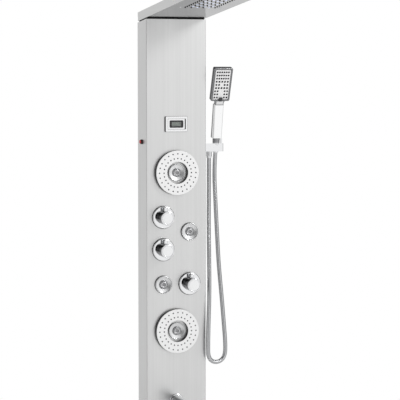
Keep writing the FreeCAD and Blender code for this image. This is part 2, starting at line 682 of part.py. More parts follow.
def head():
    wall = "sheet_thickness"
    width, length = "panel_width", "head_length"
    tray = new_body("head_shell")
    pad(tray, "XY_Plane", [rectangle(f"-{SIDE}", f"-{length}", SIDE, "0")], "head_thickness")
    dress(tray, "Fillet", "head_edge_radius", lambda line: along(line, "Z"))
    pocket(tray, "XY_Plane", [rectangle(f"-{SIDE} + {wall}", f"-{length} + {wall}", f"{SIDE} - {wall}", f"-{wall}")],
           f"head_thickness - {wall}", reverse=True)

    plate = new_body("head_spray_plate")
    inset = f"({wall} + 0.2)"
    outline = rectangle(f"-{SIDE} + {inset}", f"-{length} + {inset}", f"{SIDE} - {inset}", f"-{inset}")
    inlet = rectangle("-inlet_width / 2", "-inlet_setback - inlet_width / 2", "inlet_width / 2",
                      "-inlet_setback + inlet_width / 2")
    pad(plate, "XY_Plane", [outline, inlet], "head_plate_thickness")

    nozzles, lenses, screws = [], [], []
    rows, columns = 11, 6
    for row in range(rows):
        y = f"(-nozzle_start - {row} * nozzle_pitch)"
        for column in range(columns):
            x = f"(({column} - {(columns - 1) / 2}) * nozzle_pitch)"
            lit = column in ((2, 4) if row % 2 == 0 else (1, 3))
            if lit:
                lenses.append(prism(NUB_SIDES, "lens_radius", "lens_height", (x, y, "-lens_height")))
            else:
                nozzles.append(prism(NUB_SIDES, "head_nozzle_radius", "head_nozzle_height", (x, y, "-head_nozzle_height")))
    for y in ("(-nozzle_start)", f"(-nozzle_start - {rows - 1} * nozzle_pitch)"):
        for side in ("", "-"):
            at = (f"{side}plate_screw_offset", y, "-plate_screw_height")
            screws.append(prism(6, "plate_screw_radius", "plate_screw_height", at))

    chamber = new_body("head_water_chamber")
    half = f"({(columns - 1) / 2} * nozzle_pitch + chamber_margin)"
    front = f"(-nozzle_start - {rows - 1} * nozzle_pitch - chamber_margin)"
    pad(chamber, "XY_Plane", [rectangle(f"-{half}", front, half, "-nozzle_start + chamber_margin")],
        "chamber_height", "head_plate_thickness")
    duct = rectangle("-inlet_width / 2 - 3", "-nozzle_start + chamber_margin", "inlet_width / 2 + 3",
                     "-inlet_setback + inlet_width / 2 + 3")
    pad(chamber, "XY_Plane", [duct], "chamber_height", "head_plate_thickness")

    pieces = [tray, plate, chamber, group("head_nozzles", nozzles), group("head_light_lenses", lenses),
              group("head_plate_screws", screws)]
    for piece in pieces:
        on_head(piece)
    keep(*pieces)

    spacer = new_body("head_spacer")
    recess = "spacer_recess"
    thickness = "(head_gap * cos(head_slope))"
    back = f"-{recess}"
    front = f"(-(panel_depth + {HEAD_BACK}) / cos(head_slope) + {recess})"
    hole = rectangle("-inlet_width / 2", "-inlet_setback - inlet_width / 2", "inlet_width / 2",
                     "-inlet_setback + inlet_width / 2")
    pad(spacer, "XY_Plane", [rectangle(f"-{SIDE} + {recess}", front, f"{SIDE} - {recess}", back), hole],
        thickness, f"-{thickness}")
    on_head(spacer)
    keep(spacer)


# ---------------------------------------------------------------- display and switch
def display():
    z = below_top("display_drop")
    bezel = new_body("display_bezel")
    window_outline = cornered("0", "0", "window_width", "window_height", "window_corner")
    outline = rectangle("-bezel_width / 2", "-bezel_height / 2", "bezel_width / 2", "bezel_height / 2")
    pad(bezel, "XY_Plane", [outline, window_outline], "bezel_stand")
    window = new_body("display_window")
    pad(window, "XY_Plane", [window_outline], "window_thickness", "bezel_stand - window_thickness - 0.6")
    module = new_body("display_module")
    width = "(window_width + 2 * module_margin)"
    height = "(window_height + 2 * module_margin)"
    case = rectangle(f"-{width} / 2", f"-{height} / 2", f"{width} / 2", f"{height} / 2")
    pad(module, "XY_Plane", [case], "module_depth", "-module_depth")
    pad(module, "XY_Plane", [window_outline], "bezel_stand - window_thickness - 0.6")
    for piece in (bezel, window, module):
        place(piece, ("0", FRONT, z), FORWARD)
    keep(bezel, window, module)


def switch():
    at = (f"-{SIDE}", "-holder_setback", below_top("switch_drop"))
    depth = "(switch_stand + 4)"
    bezel = new_body("switch_bezel")
    bore = polygon(20, "0", "0", "switch_cap_radius + fit_gap")
    pad(bezel, "XY_Plane", [polygon(20, "0", "0", "switch_radius")], "switch_stand")
    pad(bezel, "XY_Plane", [polygon(8, "0", "0", "switch_body_radius")], "switch_body_length", reverse=True)
    pocket(bezel, "XY_Plane", [bore], depth, "switch_stand")
    place(bezel, at, LEFT)
    seat = f"(switch_stand - {depth} + switch_travel + fit_gap)"
    cap = new_body("switch_cap")
    pad(cap, "XY_Plane", [polygon(20, "0", "0", "switch_cap_radius")],
        f"switch_stand + switch_cap_stand - {seat}", seat)
    place(cap, at, LEFT)
    keep(bezel, cap)


# ---------------------------------------------------------------- massage rings and swivel jets
JET_BODY_RADIUS = "(ball_radius + fit_gap + jet_wall)"
BALL_FLOOR = "(-ball_setback - ball_radius - fit_gap)"
JET_BACK = f"({BALL_FLOOR} - jet_wall)"


def swivel_jet(name, x, drop):
    """A dished rosette that holds a swivel nozzle, and that nozzle."""
    at = (x, FRONT, below_top(drop))
    throat = "(ball_radius + fit_gap)"
    lip = "(ball_radius - ball_lip)"
    body = faceted(f"{name}_jet_body", JET_SIDES, [
        ("0", JET_BACK), (JET_BODY_RADIUS, JET_BACK), (JET_BODY_RADIUS, "0"), ("jet_radius", "0"),
        ("jet_radius", "jet_stand"), ("jet_radius - jet_rim", "jet_stand"), (clear_of(lip, JET_SIDES), "jet_throat"),
        (clear_of(throat, JET_SIDES), "0"), (clear_of(throat, JET_SIDES), BALL_FLOOR), ("0", BALL_FLOOR)])
    place(body, at, FORWARD)
    front_radius = "sqrt(ball_radius ^ 2 - ball_front ^ 2)"
    back_radius = "sqrt(ball_radius ^ 2 - ball_back ^ 2)"
    floor = "(ball_front - ball_bore_depth)"
    nozzle = faceted(f"{name}_jet_nozzle", BALL_SIDES, [
        ("0", "-ball_back"), (back_radius, "-ball_back"), ("ball_radius", "0"), (front_radius, "ball_front"),
        ("ball_bore_radius", "ball_front"), ("ball_bore_radius", floor), ("0", floor)])
    place(nozzle, (x, f"{FRONT} + ball_setback", below_top(drop)), FORWARD)
    keep(nozzle)
    return body


def ring_nut(across, thread, x, drop):
    """A hexagon nut that pulls its thread against the inside of the front sheet."""
    at = (x, f"{FRONT} + sheet_thickness", below_top(drop))
    bore = clear_of(f"{thread} + thread_gap", 6)
    return cut("ring_nut", prism(6, across, "nut_height", at, BACKWARD), prism(6, bore, "nut_height", at, BACKWARD))


def massage_ring(name, drop):
    at = ("0", FRONT, below_top(drop))
    seat = "(ring_stand - ring_plate_thickness)"
    rim = f"ring_radius * cos({180 / RING_SIDES})"
    outline = [polygon(RING_SIDES, "0", "0", rim), polygon(JET_SIDES, "0", "0", "ring_bore_radius")]
    base = new_body(f"{name}_ring_base")
    pad(base, "XY_Plane", outline, seat)
    studs = [polygon(6, f"{side}stud_offset", "0", "stud_radius") for side in ("", "-")]
    pad(base, "XY_Plane", studs, "stud_length", reverse=True)
    place(base, at, FORWARD)

    plate = new_body(f"{name}_ring_plate")
    pad(plate, "XY_Plane", outline, "ring_plate_thickness", seat)
    doc.recompute()
    plain = plate.Shape.Volume
    holes = [polygon(NUB_SIDES, circle, "0", "ring_hole_radius")
             for circle in ("inner_hole_circle", "outer_hole_circle")]
    hole = pocket(plate, "XY_Plane", holes, "ring_plate_thickness + 1", f"{seat} - 0.5", reverse=True)
    pattern = plate.newObject("PartDesign::PolarPattern", "PolarPattern")
    pattern.Originals = [hole]
    axis = next(f for f in plate.Origin.OriginFeatures if f.Role == "Z_Axis")
    pattern.Axis = (axis, [""])
    pattern.Angle = 360
    pattern.setExpression("Occurrences", bind("ring_hole_count"))
    plate.Tip = pattern
    doc.recompute()
    one = plain - hole.Shape.Volume
    if abs(plain - plate.Shape.Volume - one * value("ring_hole_count")) > 0.01 * plain:
        raise ValueError(f"{name} ring plate lacks holes")
    place(plate, at, FORWARD)
    return base, plate


def stud_nut(side, drop):
    """A cap nut that is seated on the end of a ring's stud."""
    at = (f"{side}stud_offset", f"{FRONT} + stud_length", below_top(drop))
    return prism(6, "nut_radius", "nut_height", at, BACKWARD)


def rings_and_jets():
    bases, plates, bodies, nuts = [], [], [], []
    for name in ("upper", "lower"):
        drop = f"{name}_ring_drop"
        base, plate = massage_ring(name, drop)
        bases.append(base)
        plates.append(plate)
        bodies.append(swivel_jet(f"{name}_ring", "0", drop))
        nuts.append(ring_nut("jet_nut_radius", JET_BODY_RADIUS, "0", drop))
        nuts += [stud_nut(side, drop) for side in ("", "-")]
    for name, x in (("right", "side_column"), ("left", "-side_column")):
        bodies.append(swivel_jet(name, x, f"{name}_jet_drop"))
        nuts.append(ring_nut("jet_nut_radius", JET_BODY_RADIUS, x, f"{name}_jet_drop"))
    keep(group("ring_bases", bases), group("ring_plates", plates), group("jet_bodies", bodies),
         group("jet_and_ring_nuts", nuts))


# ---------------------------------------------------------------- knobs and valves
KNOBS = (("temperature", "-"), ("flow", "-"), ("diverter", ""))
CARTRIDGE_FRONT = "(flange_stand - 1.5)"
KNOB_BACK = "(flange_stand + knob_gap)"


def rosette(label, radius, stand, bore, at):
    """A flat rosette with a sloped front edge."""
    disc = faceted(label + "_disc", ROSETTE_SIDES, [
        ("0", "0"), (radius, "0"), (radius, f"{stand} - flange_chamfer"), (f"{radius} - flange_chamfer", stand),
        ("0", stand)])
    hole = prism(HIDDEN_SIDES, clear_of(bore, HIDDEN_SIDES), f"{stand} + 2", ("0", "0", "-1"))
    return place(cut(label, disc, hole), at, FORWARD)


def knob_set(name, side):
    """The rosette, cartridge and turning knob of one valve; the knob carries its spindle."""
    at = (f"{side}side_column", FRONT, below_top(f"{name}_drop"))
    flange = rosette(f"{name}_flange", "flange_radius", "flange_stand", "cartridge_neck_radius + fit_gap", at)

    crown = "(tab_reach - tab_crown + sqrt(tab_crown ^ 2 - (tab_width / 2) ^ 2))"
    tab = [("tab_width / 2", "0"), ("tab_width / 2", crown, "tab_crown"), ("-tab_width / 2", crown),
           ("-tab_width / 2", "0")]
    thumb = new_body()
    pad(thumb, "XY_Plane", [tab], "tab_length", f"{KNOB_BACK} + tab_setback")
    barrel = prism(KNOB_SIDES, "knob_radius", "knob_length", ("0", "0", KNOB_BACK))
    spindle = prism(6, "spindle_radius", f"spindle_depth + {KNOB_BACK}", ("0", "0", "-spindle_depth"))
    knob = fused(f"{name}_knob", [barrel, thumb, spindle])
    place(knob, at, FORWARD)

    bore = clear_of("spindle_radius + fit_gap", HIDDEN_SIDES)
    floor = "(-spindle_depth - fit_gap)"
    cartridge = faceted(f"{name}_cartridge", HIDDEN_SIDES, [
        ("0", "-cartridge_depth"), ("cartridge_radius", "-cartridge_depth"),
        ("cartridge_radius", "-sheet_thickness"), ("cartridge_neck_radius", "-sheet_thickness"),
        ("cartridge_neck_radius", CARTRIDGE_FRONT), (bore, CARTRIDGE_FRONT), (bore, floor), ("0", floor)])
    place(cartridge, at, FORWARD)
    keep(knob)
    return flange, cartridge


def valves():
    flanges, cartridges = [], []
    for name, side in KNOBS:
        flange, cartridge = knob_set(name, side)
        flanges.append(flange)
        cartridges.append(cartridge)
    spout_at = ("0", FRONT, below_top("spout_drop"))
    flanges.append(rosette("spout_flange", "spout_flange_radius", "spout_flange_stand", "spout_radius + hole_gap",
                           spout_at))
    keep(group("rosettes", flanges), group("valve_cartridges", cartridges))

    y = f"({FRONT} + cartridge_depth + valve_width / 2)"
    high = below_top("(temperature_drop - valve_overhang)")
    low = below_top("(diverter_drop + valve_overhang)")
    middle = below_top("diverter_drop")
    channel, riser, arm = "channel_width", "riser_width", "jet_feed_width"
    pieces = [
        block("valve_width", "valve_width", f"{high} - {low}", ("-side_column", y, f"({high} + {low}) / 2")),
        block("valve_width", "valve_width", "2 * valve_overhang", ("side_column", y, middle)),
        block("2 * side_column", channel, channel, ("0", y, middle)),
        block(riser, riser, "lower_ring_drop - upper_ring_drop + riser_width",
              ("0", y, below_top("(upper_ring_drop + lower_ring_drop) / 2"))),
        block("side_column", riser, riser, ("side_column / 2", y, below_top("right_jet_drop"))),
    ]
    jets = (("0", "upper_ring_drop"), ("0", "lower_ring_drop"), ("side_column", "right_jet_drop"),
            ("-side_column", "left_jet_drop"))
    for x, drop in jets:
        reach = f"({y} + {riser} / 2 - ({FRONT} - {JET_BACK}))"
        centre = f"({FRONT} - {JET_BACK} + {reach} / 2)"
        pieces.append(block(arm, reach, arm, (x, centre, below_top(drop))))
    for side in ("", "-"):
        pieces.append(cylinder("nipple_radius", "nipple_length", (f"{side}side_column", f"{y} - nipple_forward", low), DOWN))
    keep(fused("valve_body", pieces))


# ---------------------------------------------------------------- spout
def spout():
    at = ("0", FRONT, below_top("spout_drop"))
    body = faceted("spout_tube", SPOUT_SIDES, [
        ("0", "-spout_tail_length"), ("spout_tail_radius", "-spout_tail_length"), ("spout_tail_radius", "0"),
        ("spout_radius", "0"), ("spout_radius", "spout_length - spout_chamfer"),
        ("spout_radius - spout_chamfer", "spout_length"), ("0", "spout_length")])
    place(body, at, FORWARD)
    # the outlet collar hangs under the nose
    mouth = "(spout_length - outlet_setback)"
    foot = ("0", f"{FRONT} - {mouth}", f"{below_top('spout_drop')} - outlet_drop")
    collar = prism(CONE_SIDES, "outlet_radius", "outlet_drop", foot)
    hole = prism(CONE_SIDES, "aerator_radius + thread_gap", "aerator_height + 2", foot)
    seat = (foot[0], foot[1], f"{foot[2]} + 2")
    aerator = prism(CONE_SIDES, "aerator_radius", "aerator_height", seat)
    aerator.Label = "spout_aerator"
    body = fused("spout_with_collar", [body, collar])
    keep(cut("spout", body, hole), aerator)


# ---------------------------------------------------------------- holder and hand shower
CRADLE_X = f"({SIDE} + cradle_offset)"
CRADLE_Z = below_top("holder_drop")
CRADLE = (CRADLE_X, "-holder_setback", CRADLE_Z)


def holder():
    body = new_body("handset_holder")
    end = f"({SIDE} + holder_reach)"
    half_y, half_z = "holder_depth / 2", "holder_height / 2"
    bar = [(SIDE, f"-{half_y}"), (f"{end} - holder_corner", f"-{half_y}", "holder_corner"),
           (end, f"-{half_y} + holder_corner"), (end, f"{half_y} - holder_corner", "holder_corner"),
           (f"{end} - holder_corner", half_y), (SIDE, half_y)]
    pad(body, "XY_Plane", [bar], "holder_height", f"-{half_z}")
    tail = rectangle("-holder_tail_width / 2", "-holder_tail_width / 2", "holder_tail_width / 2",
                     "holder_tail_width / 2")
    pad(body, "YZ_Plane", [tail], "holder_tail_length", f"{SIDE} - holder_tail_length")
    lip = rectangle(f"{CRADLE_X} + lip_offset", "-lip_width / 2", f"{CRADLE_X} + lip_offset + lip_thickness",
                    "lip_width / 2")
    pad(body, "XY_Plane", [lip], "lip_rise", half_z)
    slot = rectangle(f"{CRADLE_X} - cradle_slot / 2", "0", f"{CRADLE_X} + cradle_slot / 2", f"{half_y} + 1")
    pocket(body, "XY_Plane", [slot], "holder_height + 2", f"-{half_z} - 1", reverse=True)
    place(body, ("0", "-holder_setback", CRADLE_Z))
    reach = "(holder_height * 0.8)"
    low, high = f"-{reach}", reach
    tool = faceted("cradle_tool", CONE_SIDES, [
        ("0", low), (f"{cone_radius(low)} + cradle_gap", low), (f"{cone_radius(high)} + cradle_gap", high),
        ("0", high)])
    place(tool, CRADLE, lean="handset_lean")
    arm = cut("holder_arm", body, tool)
    outlet_x = f"({SIDE} + outlet_offset)"
    nut = faceted("hose_outlet_nut", CONE_SIDES, [
        ("0", "-hose_nut_length"), ("hose_radius + 1", "-hose_nut_length"), ("hose_nut_radius", "-hose_nut_length + 5"),
        ("hose_nut_radius", "0"), ("0", "0")])
    place(nut, (outlet_x, "-holder_setback", f"{CRADLE_Z} - {half_z}"))
    keep(arm, nut)


def cone_radius(height):
    """Radius of the cone nut at a height above the middle of its cradle."""
    slope = "((cone_top_radius - cone_bottom_radius) / (cone_foot + cone_head))"
    return f"(cone_bottom_radius + {slope} * (cone_foot + {height}))"


def in_handset(u, v, w, lean="handset_lean"):
    """A point of the leaning hand shower: u to the right, v forward, w up its handle."""
    x = f"({CRADLE_X} + {u})"
    y = f"(-holder_setback - ({w}) * sin({lean}) - ({v}) * cos({lean}))"
    z = f"({CRADLE_Z} + ({w}) * cos({lean}) - ({v}) * sin({lean}))"
    return (x, y, z)


def handset():
    low, high = "-cone_foot", "cone_head"
    cone = faceted("hose_cone_nut", CONE_SIDES, [
        ("0", low), (cone_radius(low), low), (cone_radius(high), high), ("0", high)])
    place(cone, CRADLE, lean="handset_lean")

    handle = new_body()
    loft = handle.newObject("PartDesign::AdditiveLoft", "Loft")
    foot = cornered("0", "0", "handle_foot_width", "handle_foot_depth", "handle_corner")
    top = cornered("0", "0", "handle_top_width", "handle_top_depth", "handle_corner")
    loft.Profile = draw(handle, "XY_Plane", [foot], "cone_head")
    loft.Sections = [draw(handle, "XY_Plane", [top], "cone_head + handle_length")]
    loft.Ruled = True
    place(handle, CRADLE, lean="handset_lean")

    # the spray head leans further: its own +Z runs up the face and -Y is the face's outward side
    neck_at = in_handset("0", "0", "cone_head + handle_length - 2")
    slab = new_body()
    back = "(spray_depth / 2)"
    low = "neck_height"
    pad(slab, "XZ_Plane", [cornered("0", f"({low} + spray_height / 2)", "spray_width", "spray_height", "spray_corner")],
        "spray_depth", f"-{back}")
    neck = [("-handle_top_width / 2", "-2"), ("handle_top_width / 2", "-2"),
            ("neck_width / 2 + 4", f"{low} + 6"), ("-neck_width / 2 - 4", f"{low} + 6")]
    pad(slab, "XZ_Plane", [neck], "spray_depth", f"-{back}")
    place(slab, neck_at, lean="handset_tilt")
    shell = fused("handset_shell", [handle, slab])

    inner_w, inner_h = "(spray_width - 2 * rim_width)", "(spray_height - 2 * rim_width)"
    middle = f"({low} + spray_height / 2)"
    rim = new_body("handset_rim")
    inner = cornered("0", middle, inner_w, inner_h, "spray_corner / 2")
    pad(rim, "XZ_Plane", [cornered("0", middle, "spray_width", "spray_height", "spray_corner"), inner],
        "rim_height", back)
    front_y = -value(f"{back} + rim_height")

    def outer_front(edge):
        box = edge.BoundBox
        flat = abs(box.YMin - front_y) < 1e-3 and abs(box.YMax - front_y) < 1e-3
        wide = abs(edge.CenterOfMass.x) > value(inner_w) / 2 + 0.5
        tall = abs(edge.CenterOfMass.z - value(middle)) > value(inner_h) / 2 + 0.5
        return flat and (wide or tall)

    dress(rim, "Chamfer", "rim_bevel", outer_front)
    chin = [("-neck_width / 2 + 2", "chin_foot"), ("neck_width / 2 - 2", "chin_foot"),
            ("neck_width / 2", low), ("-neck_width / 2", low)]
    pad(rim, "XZ_Plane", [chin], "rim_height - 2", back)

    face = new_body("handset_face")
    pad(face, "XZ_Plane", [inner], "face_thickness", back)
    stem_low = f"({low} + rim_width + 1)"
    stem_high = f"({stem_low} + selector_stem + selector_travel + 2 * fit_gap)"
    slot = rectangle("-selector_stem / 2 - fit_gap", stem_low, "selector_stem / 2 + fit_gap", stem_high)
    pocket(face, "XZ_Plane", [slot], "face_thickness + 1", f"{back} - 0.5", reverse=True)

    selector = new_body("handset_selector")
    under = f"({back} + rim_height + fit_gap)"
    foot_z = f"({low} + selector_foot)"
    pad(selector, "XZ_Plane", [rectangle("-selector_width / 2", foot_z, "selector_width / 2",
                                         f"{foot_z} + selector_height")], "selector_depth", under)
    stem = rectangle("-selector_stem / 2", f"{stem_low} + fit_gap", "selector_stem / 2",
                     f"{stem_low} + fit_gap + selector_stem")
    pad(selector, "XZ_Plane", [stem], f"{under} - {back} - fit_gap + 0.1", f"{back} + fit_gap")

    rows = [(8.2, (-2.5, -1.5, -0.5, 0.5, 1.5, 2.5))] * 3
    rows += [(10.0, (-2, -1, 0, 1, 2)), (10.0, (-2, -1, 1, 2)), (10.0, (-2, -1, 0, 1, 2))]
    rows += [(8.5, (-2.4, -1.4, 1.4, 2.4))] * 3
    nubs = []
    for row, (pitch, steps) in enumerate(rows):
        z = f"({low} + spray_row_start + {len(rows) - 1 - row} * spray_row_pitch)"
        for step in steps:
            at = (f"{step * pitch}", f"-{back} - face_thickness", z)
            nubs.append(prism(NUB_SIDES, "spray_nozzle_radius", "spray_nozzle_height", at, FORWARD))
    nozzles = group("handset_nozzles", nubs)
    for piece in (rim, face, selector, nozzles):
        place(piece, neck_at, lean="handset_tilt")
    keep(cone, shell, rim, face, selector, nozzles)


# ---------------------------------------------------------------- hoses
def shower_hose():
    """The free hose: down from the outlet, round its low loop and up to the cone nut."""
    outlet_z = value(f"{CRADLE_Z} - holder_height / 2 - hose_nut_length")
    outlet_x = value(f"{SIDE} + outlet_offset")
    wall_gap = value("holder_setback")
    end = [value(a) for a in in_handset("0", "0", "-cone_foot")]
    lean = math.radians(value("handset_lean"))
    tail = Vector(0, math.sin(lean), -math.cos(lean))
    finish = Vector(*end)
    route = [Vector(outlet_x, -wall_gap, outlet_z)]
    for x, y, z in HOSE_ROUTE:
        route.append(Vector(x, y, z))
    route.append(finish + tail * 60)
    route.append(finish)
    keep(bent_tube("shower_hose", route, value("hose_radius"), 8))


# the hose's free course, chosen by hand: x, y and z of each turn
HOSE_ROUTE = (
    (126, -46, -385),
    (124, -58, -495),
    (118, -80, -610),
    (110, -98, -725),
    (104, -106, -830),
    (102, -108, -893),
    (102.3, -107.5, -935),
    (120, -105, -953.5),
    (146, -101, -953.5),
    (164, -98, -935),
    (165.5, -96, -893),
    (162, -92, -835),
    (156, -84, -745),
    (148, -71, -640),
    (147, -55, -525),
    (147, -42, -420),
)


def feed_pipes():
    """Supplies to the head, the spout and the hand shower, out of the valve body."""
    r = value("feed_radius")
    lane = value("feed_lane")
    depth_front = value("feed_depth")
    column = value("side_column")
    y = value(f"{FRONT} + cartridge_depth + valve_width / 2")
    block_edge = column + value("valve_width / 2")
    middle = value(below_top("diverter_drop"))
    slope = math.radians(value("head_slope"))
    inlet_axis = Vector(0, math.sin(slope), math.cos(slope))
    inlet = Vector(0, value(f"{HEAD_BACK} - inlet_setback * cos(head_slope)"),
                   value(f"{HEAD_FOOT} + inlet_setback * sin(head_slope)"))
    inlet = inlet + inlet_axis * value("head_plate_thickness")
    top = middle + value("valve_overhang")
    head_pipe = [
        Vector(column, y, top), Vector(column, y, top + 28), Vector(lane, y + 3, top + 63),
        Vector(lane, y + 5, inlet.z - 320), Vector(lane * 0.55, -depth_front, inlet.z - 150),
        inlet - inlet_axis * 80, inlet]
    spout = Vector(0, value(f"{FRONT} + spout_tail_length"), value(below_top("spout_drop")))
    outer_lane = lane + 2 * r + 2
    behind = -2 * r
    spout_pipe = [
        Vector(block_edge, y, middle - 8), Vector(block_edge + 13, y, middle - 8),
        Vector(outer_lane, y, middle - 40), Vector(outer_lane, y, spout.z + 190), Vector(outer_lane, behind, spout.z + 110),
        Vector(outer_lane, behind, spout.z + 26), Vector(outer_lane - 26, behind, spout.z),
        Vector(0, behind, spout.z), spout]
    holder_tail = Vector(value(f"{SIDE} - holder_tail_length"), -value("holder_setback"), value(CRADLE_Z))
    riser_edge = value("riser_width / 2")
    hand_pipe = [
        Vector(riser_edge, y, holder_tail.z - 160), Vector(riser_edge + 24, y, holder_tail.z - 160),
        Vector(column, holder_tail.y, holder_tail.z - 120), Vector(column + 2, holder_tail.y, holder_tail.z - 50),
        Vector(column + 8, holder_tail.y, holder_tail.z), holder_tail]
    pipes = [bent_tube("head_feed_pipe", head_pipe, r, 5), bent_tube("spout_feed_pipe", spout_pipe, r, 5),
             bent_tube("hand_feed_pipe", hand_pipe, r, 5)]
    keep(group("feed_pipes", pipes))


panel_shell()
brackets()
head()
display()
switch()
rings_and_jets()
valves()
spout()
holder()
handset()
shower_hose()
feed_pipes()
doc.recompute()

# ---------------------------------------------------------------- checks and files
for item in doc.Objects:
    if "Invalid" in item.State or "Error" in item.State:
        raise ValueError(f"{item.Label} failed: {item.State}")
names = [piece.Label for piece in nodes]
if len(set(names)) != len(names) or len(names) > 60:
    raise ValueError("node names repeat, or there are too many")
for piece in nodes:
    if piece.Shape.isNull() or not piece.Shape.isValid() or not piece.Shape.Solids:
        raise ValueError(f"{piece.Label} has no valid solid")
for piece in nodes:
    piece.Shape.exportStep(f"parts/{piece.Label}.step")
print(f"{len(nodes)} nodes written")
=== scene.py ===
"""Looks of the shower panel column: materials, finer pieces, light and camera."""
import math

import bpy
import bmesh
from mathutils import Matrix, Vector
from mathutils.geometry import delaunay_2d_cdt


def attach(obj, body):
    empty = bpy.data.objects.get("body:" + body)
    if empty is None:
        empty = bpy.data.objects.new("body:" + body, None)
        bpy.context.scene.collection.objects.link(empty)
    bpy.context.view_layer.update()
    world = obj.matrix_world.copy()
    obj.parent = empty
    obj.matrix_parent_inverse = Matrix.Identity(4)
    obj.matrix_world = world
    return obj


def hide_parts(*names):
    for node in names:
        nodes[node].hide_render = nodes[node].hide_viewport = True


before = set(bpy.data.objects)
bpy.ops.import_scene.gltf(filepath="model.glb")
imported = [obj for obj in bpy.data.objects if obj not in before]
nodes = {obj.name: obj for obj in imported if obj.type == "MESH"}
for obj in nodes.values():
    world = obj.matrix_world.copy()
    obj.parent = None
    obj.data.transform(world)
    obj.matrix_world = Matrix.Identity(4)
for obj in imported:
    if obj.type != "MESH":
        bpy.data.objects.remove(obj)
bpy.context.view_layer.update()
MM = 0.001

# places shared with the solids, in millimetres
FRONT = -92.0       # the column's face
SETBACK = -46.0     # the depth of the switch, the holder and the hose outlet on its sides
SIDE = -100.0       # the column's left side
UPPER_RING, LOWER_RING = -337.0, -846.0
JETS = {
    "upper_ring": (0.0, UPPER_RING),
    "lower_ring": (0.0, LOWER_RING),
    "right": (44.0, -527.0),
    "left": (-44.0, -695.0),
}
KNOBS = {"temperature": (-44.0, -479.0), "flow": (-44.0, -583.0), "diverter": (44.0, -695.0)}
DISPLAY_Z = -182.0
SWITCH_Z = -239.0
SPOUT_Z = -1075.0
AERATOR_Y = FRONT - 98.0
HEAD_PLATE = (0.0, -2.732, 145.25)
CRADLE = Vector((149.0, SETBACK, -260.0))
OUTLET_X = 126.0
LEAN, TILT = math.radians(11.0), math.radians(19.6)
HEAD_LEAN = math.radians(5.6)


# ---------------------------------------------------------------- materials
class Paint:
    """Builds one procedural material."""

    def __init__(self, name, colour, rough, metal=0.0, **more):
        self.material = bpy.data.materials.new(name)
        self.material.use_nodes = True
        self.tree = self.material.node_tree
        self.shader = self.tree.nodes["Principled BSDF"]
        self.set("Base Color", (*colour, 1.0))
        self.set("Roughness", rough)
        self.set("Metallic", metal)
        for socket, number in more.items():
            self.set(socket.replace("_", " "), number)

    def set(self, socket, number):
        self.shader.inputs[socket].default_value = number

    def node(self, kind, **settings):
        made = self.tree.nodes.new(kind)
        for name, setting in settings.items():
            setattr(made, name, setting)
        return made

    def link(self, start, end):
        self.tree.links.new(start, end)

    def spread(self, stretch):
        """Object coordinates, stretched."""
        where = self.node("ShaderNodeTexCoord")
        mapping = self.node("ShaderNodeMapping")
        mapping.inputs["Scale"].default_value = stretch
        self.link(where.outputs["Object"], mapping.inputs["Vector"])
        return mapping.outputs["Vector"]

    def noise(self, stretch, detail, roughness):
        made = self.node("ShaderNodeTexNoise")
        made.inputs["Scale"].default_value = 1.0
        made.inputs["Detail"].default_value = detail
        made.inputs["Roughness"].default_value = roughness
        self.link(self.spread(stretch), made.inputs["Vector"])
        return made.outputs["Fac"]

    def cells(self, stretch):
        made = self.node("ShaderNodeTexVoronoi")
        made.inputs["Scale"].default_value = 1.0
        self.link(self.spread(stretch), made.inputs["Vector"])
        return made

    def vary(self, socket, texture, low, high, start=0.3, end=0.7):
        """A number socket that follows a texture between low and high."""
        made = self.node("ShaderNodeMapRange")
        made.inputs["From Min"].default_value = start
        made.inputs["From Max"].default_value = end
        made.inputs["To Min"].default_value = low
        made.inputs["To Max"].default_value = high
        self.link(texture, made.inputs["Value"])
        self.link(made.outputs["Result"], self.shader.inputs[socket])

    def tint(self, texture, one, two, start=0.3, end=0.7):
        """A base colour that follows a texture between two colours."""
        ramp = self.node("ShaderNodeValToRGB")
        ramp.color_ramp.elements[0].position = start
        ramp.color_ramp.elements[0].color = (*one, 1.0)
        ramp.color_ramp.elements[1].position = end
        ramp.color_ramp.elements[1].color = (*two, 1.0)
        self.link(texture, ramp.inputs["Fac"])
        self.link(ramp.outputs["Color"], self.shader.inputs["Base Color"])

    def bump(self, texture, depth, strength):
        made = self.node("ShaderNodeBump")
        made.inputs["Strength"].default_value = strength
        made.inputs["Distance"].default_value = depth
        self.link(texture, made.inputs["Height"])
        self.link(made.outputs["Normal"], self.shader.inputs["Normal"])


def shade(colour, factor):
    return tuple(min(1.0, c * factor) for c in colour)


def evenly(number):
    """The same stretch in all three directions."""
    return (number, number, number)


def brushed(name, colour, stretch, rough=0.33, grain=0.05):
    """Sheet metal with fine brushing along one axis, and faint handling marks."""
    paint = Paint(name, colour, rough, 1.0)
    fine = paint.noise(stretch, 4.0, 0.6)
    broad = paint.noise(tuple(s * 0.12 for s in stretch), 2.0, 0.5)
    clouds = paint.noise((9.0, 9.0, 5.0), 3.0, 0.5)
    # 55 parts of the fine brushing to 45 of the broad
    mixed = paint.node("ShaderNodeMath", operation="MULTIPLY_ADD")
    mixed.inputs[1].default_value = 0.45
    paint.link(broad, mixed.inputs[0])
    share = paint.node("ShaderNodeMath", operation="MULTIPLY")
    share.inputs[1].default_value = 0.55
    paint.link(fine, share.inputs[0])
    paint.link(share.outputs[0], mixed.inputs[2])
    paint.tint(mixed.outputs[0], shade(colour, 1 - grain), shade(colour, 1 + grain))
    paint.vary("Roughness", clouds, rough - 0.03, rough + 0.05)
    paint.bump(fine, 0.00002, 0.35)
    return paint.material


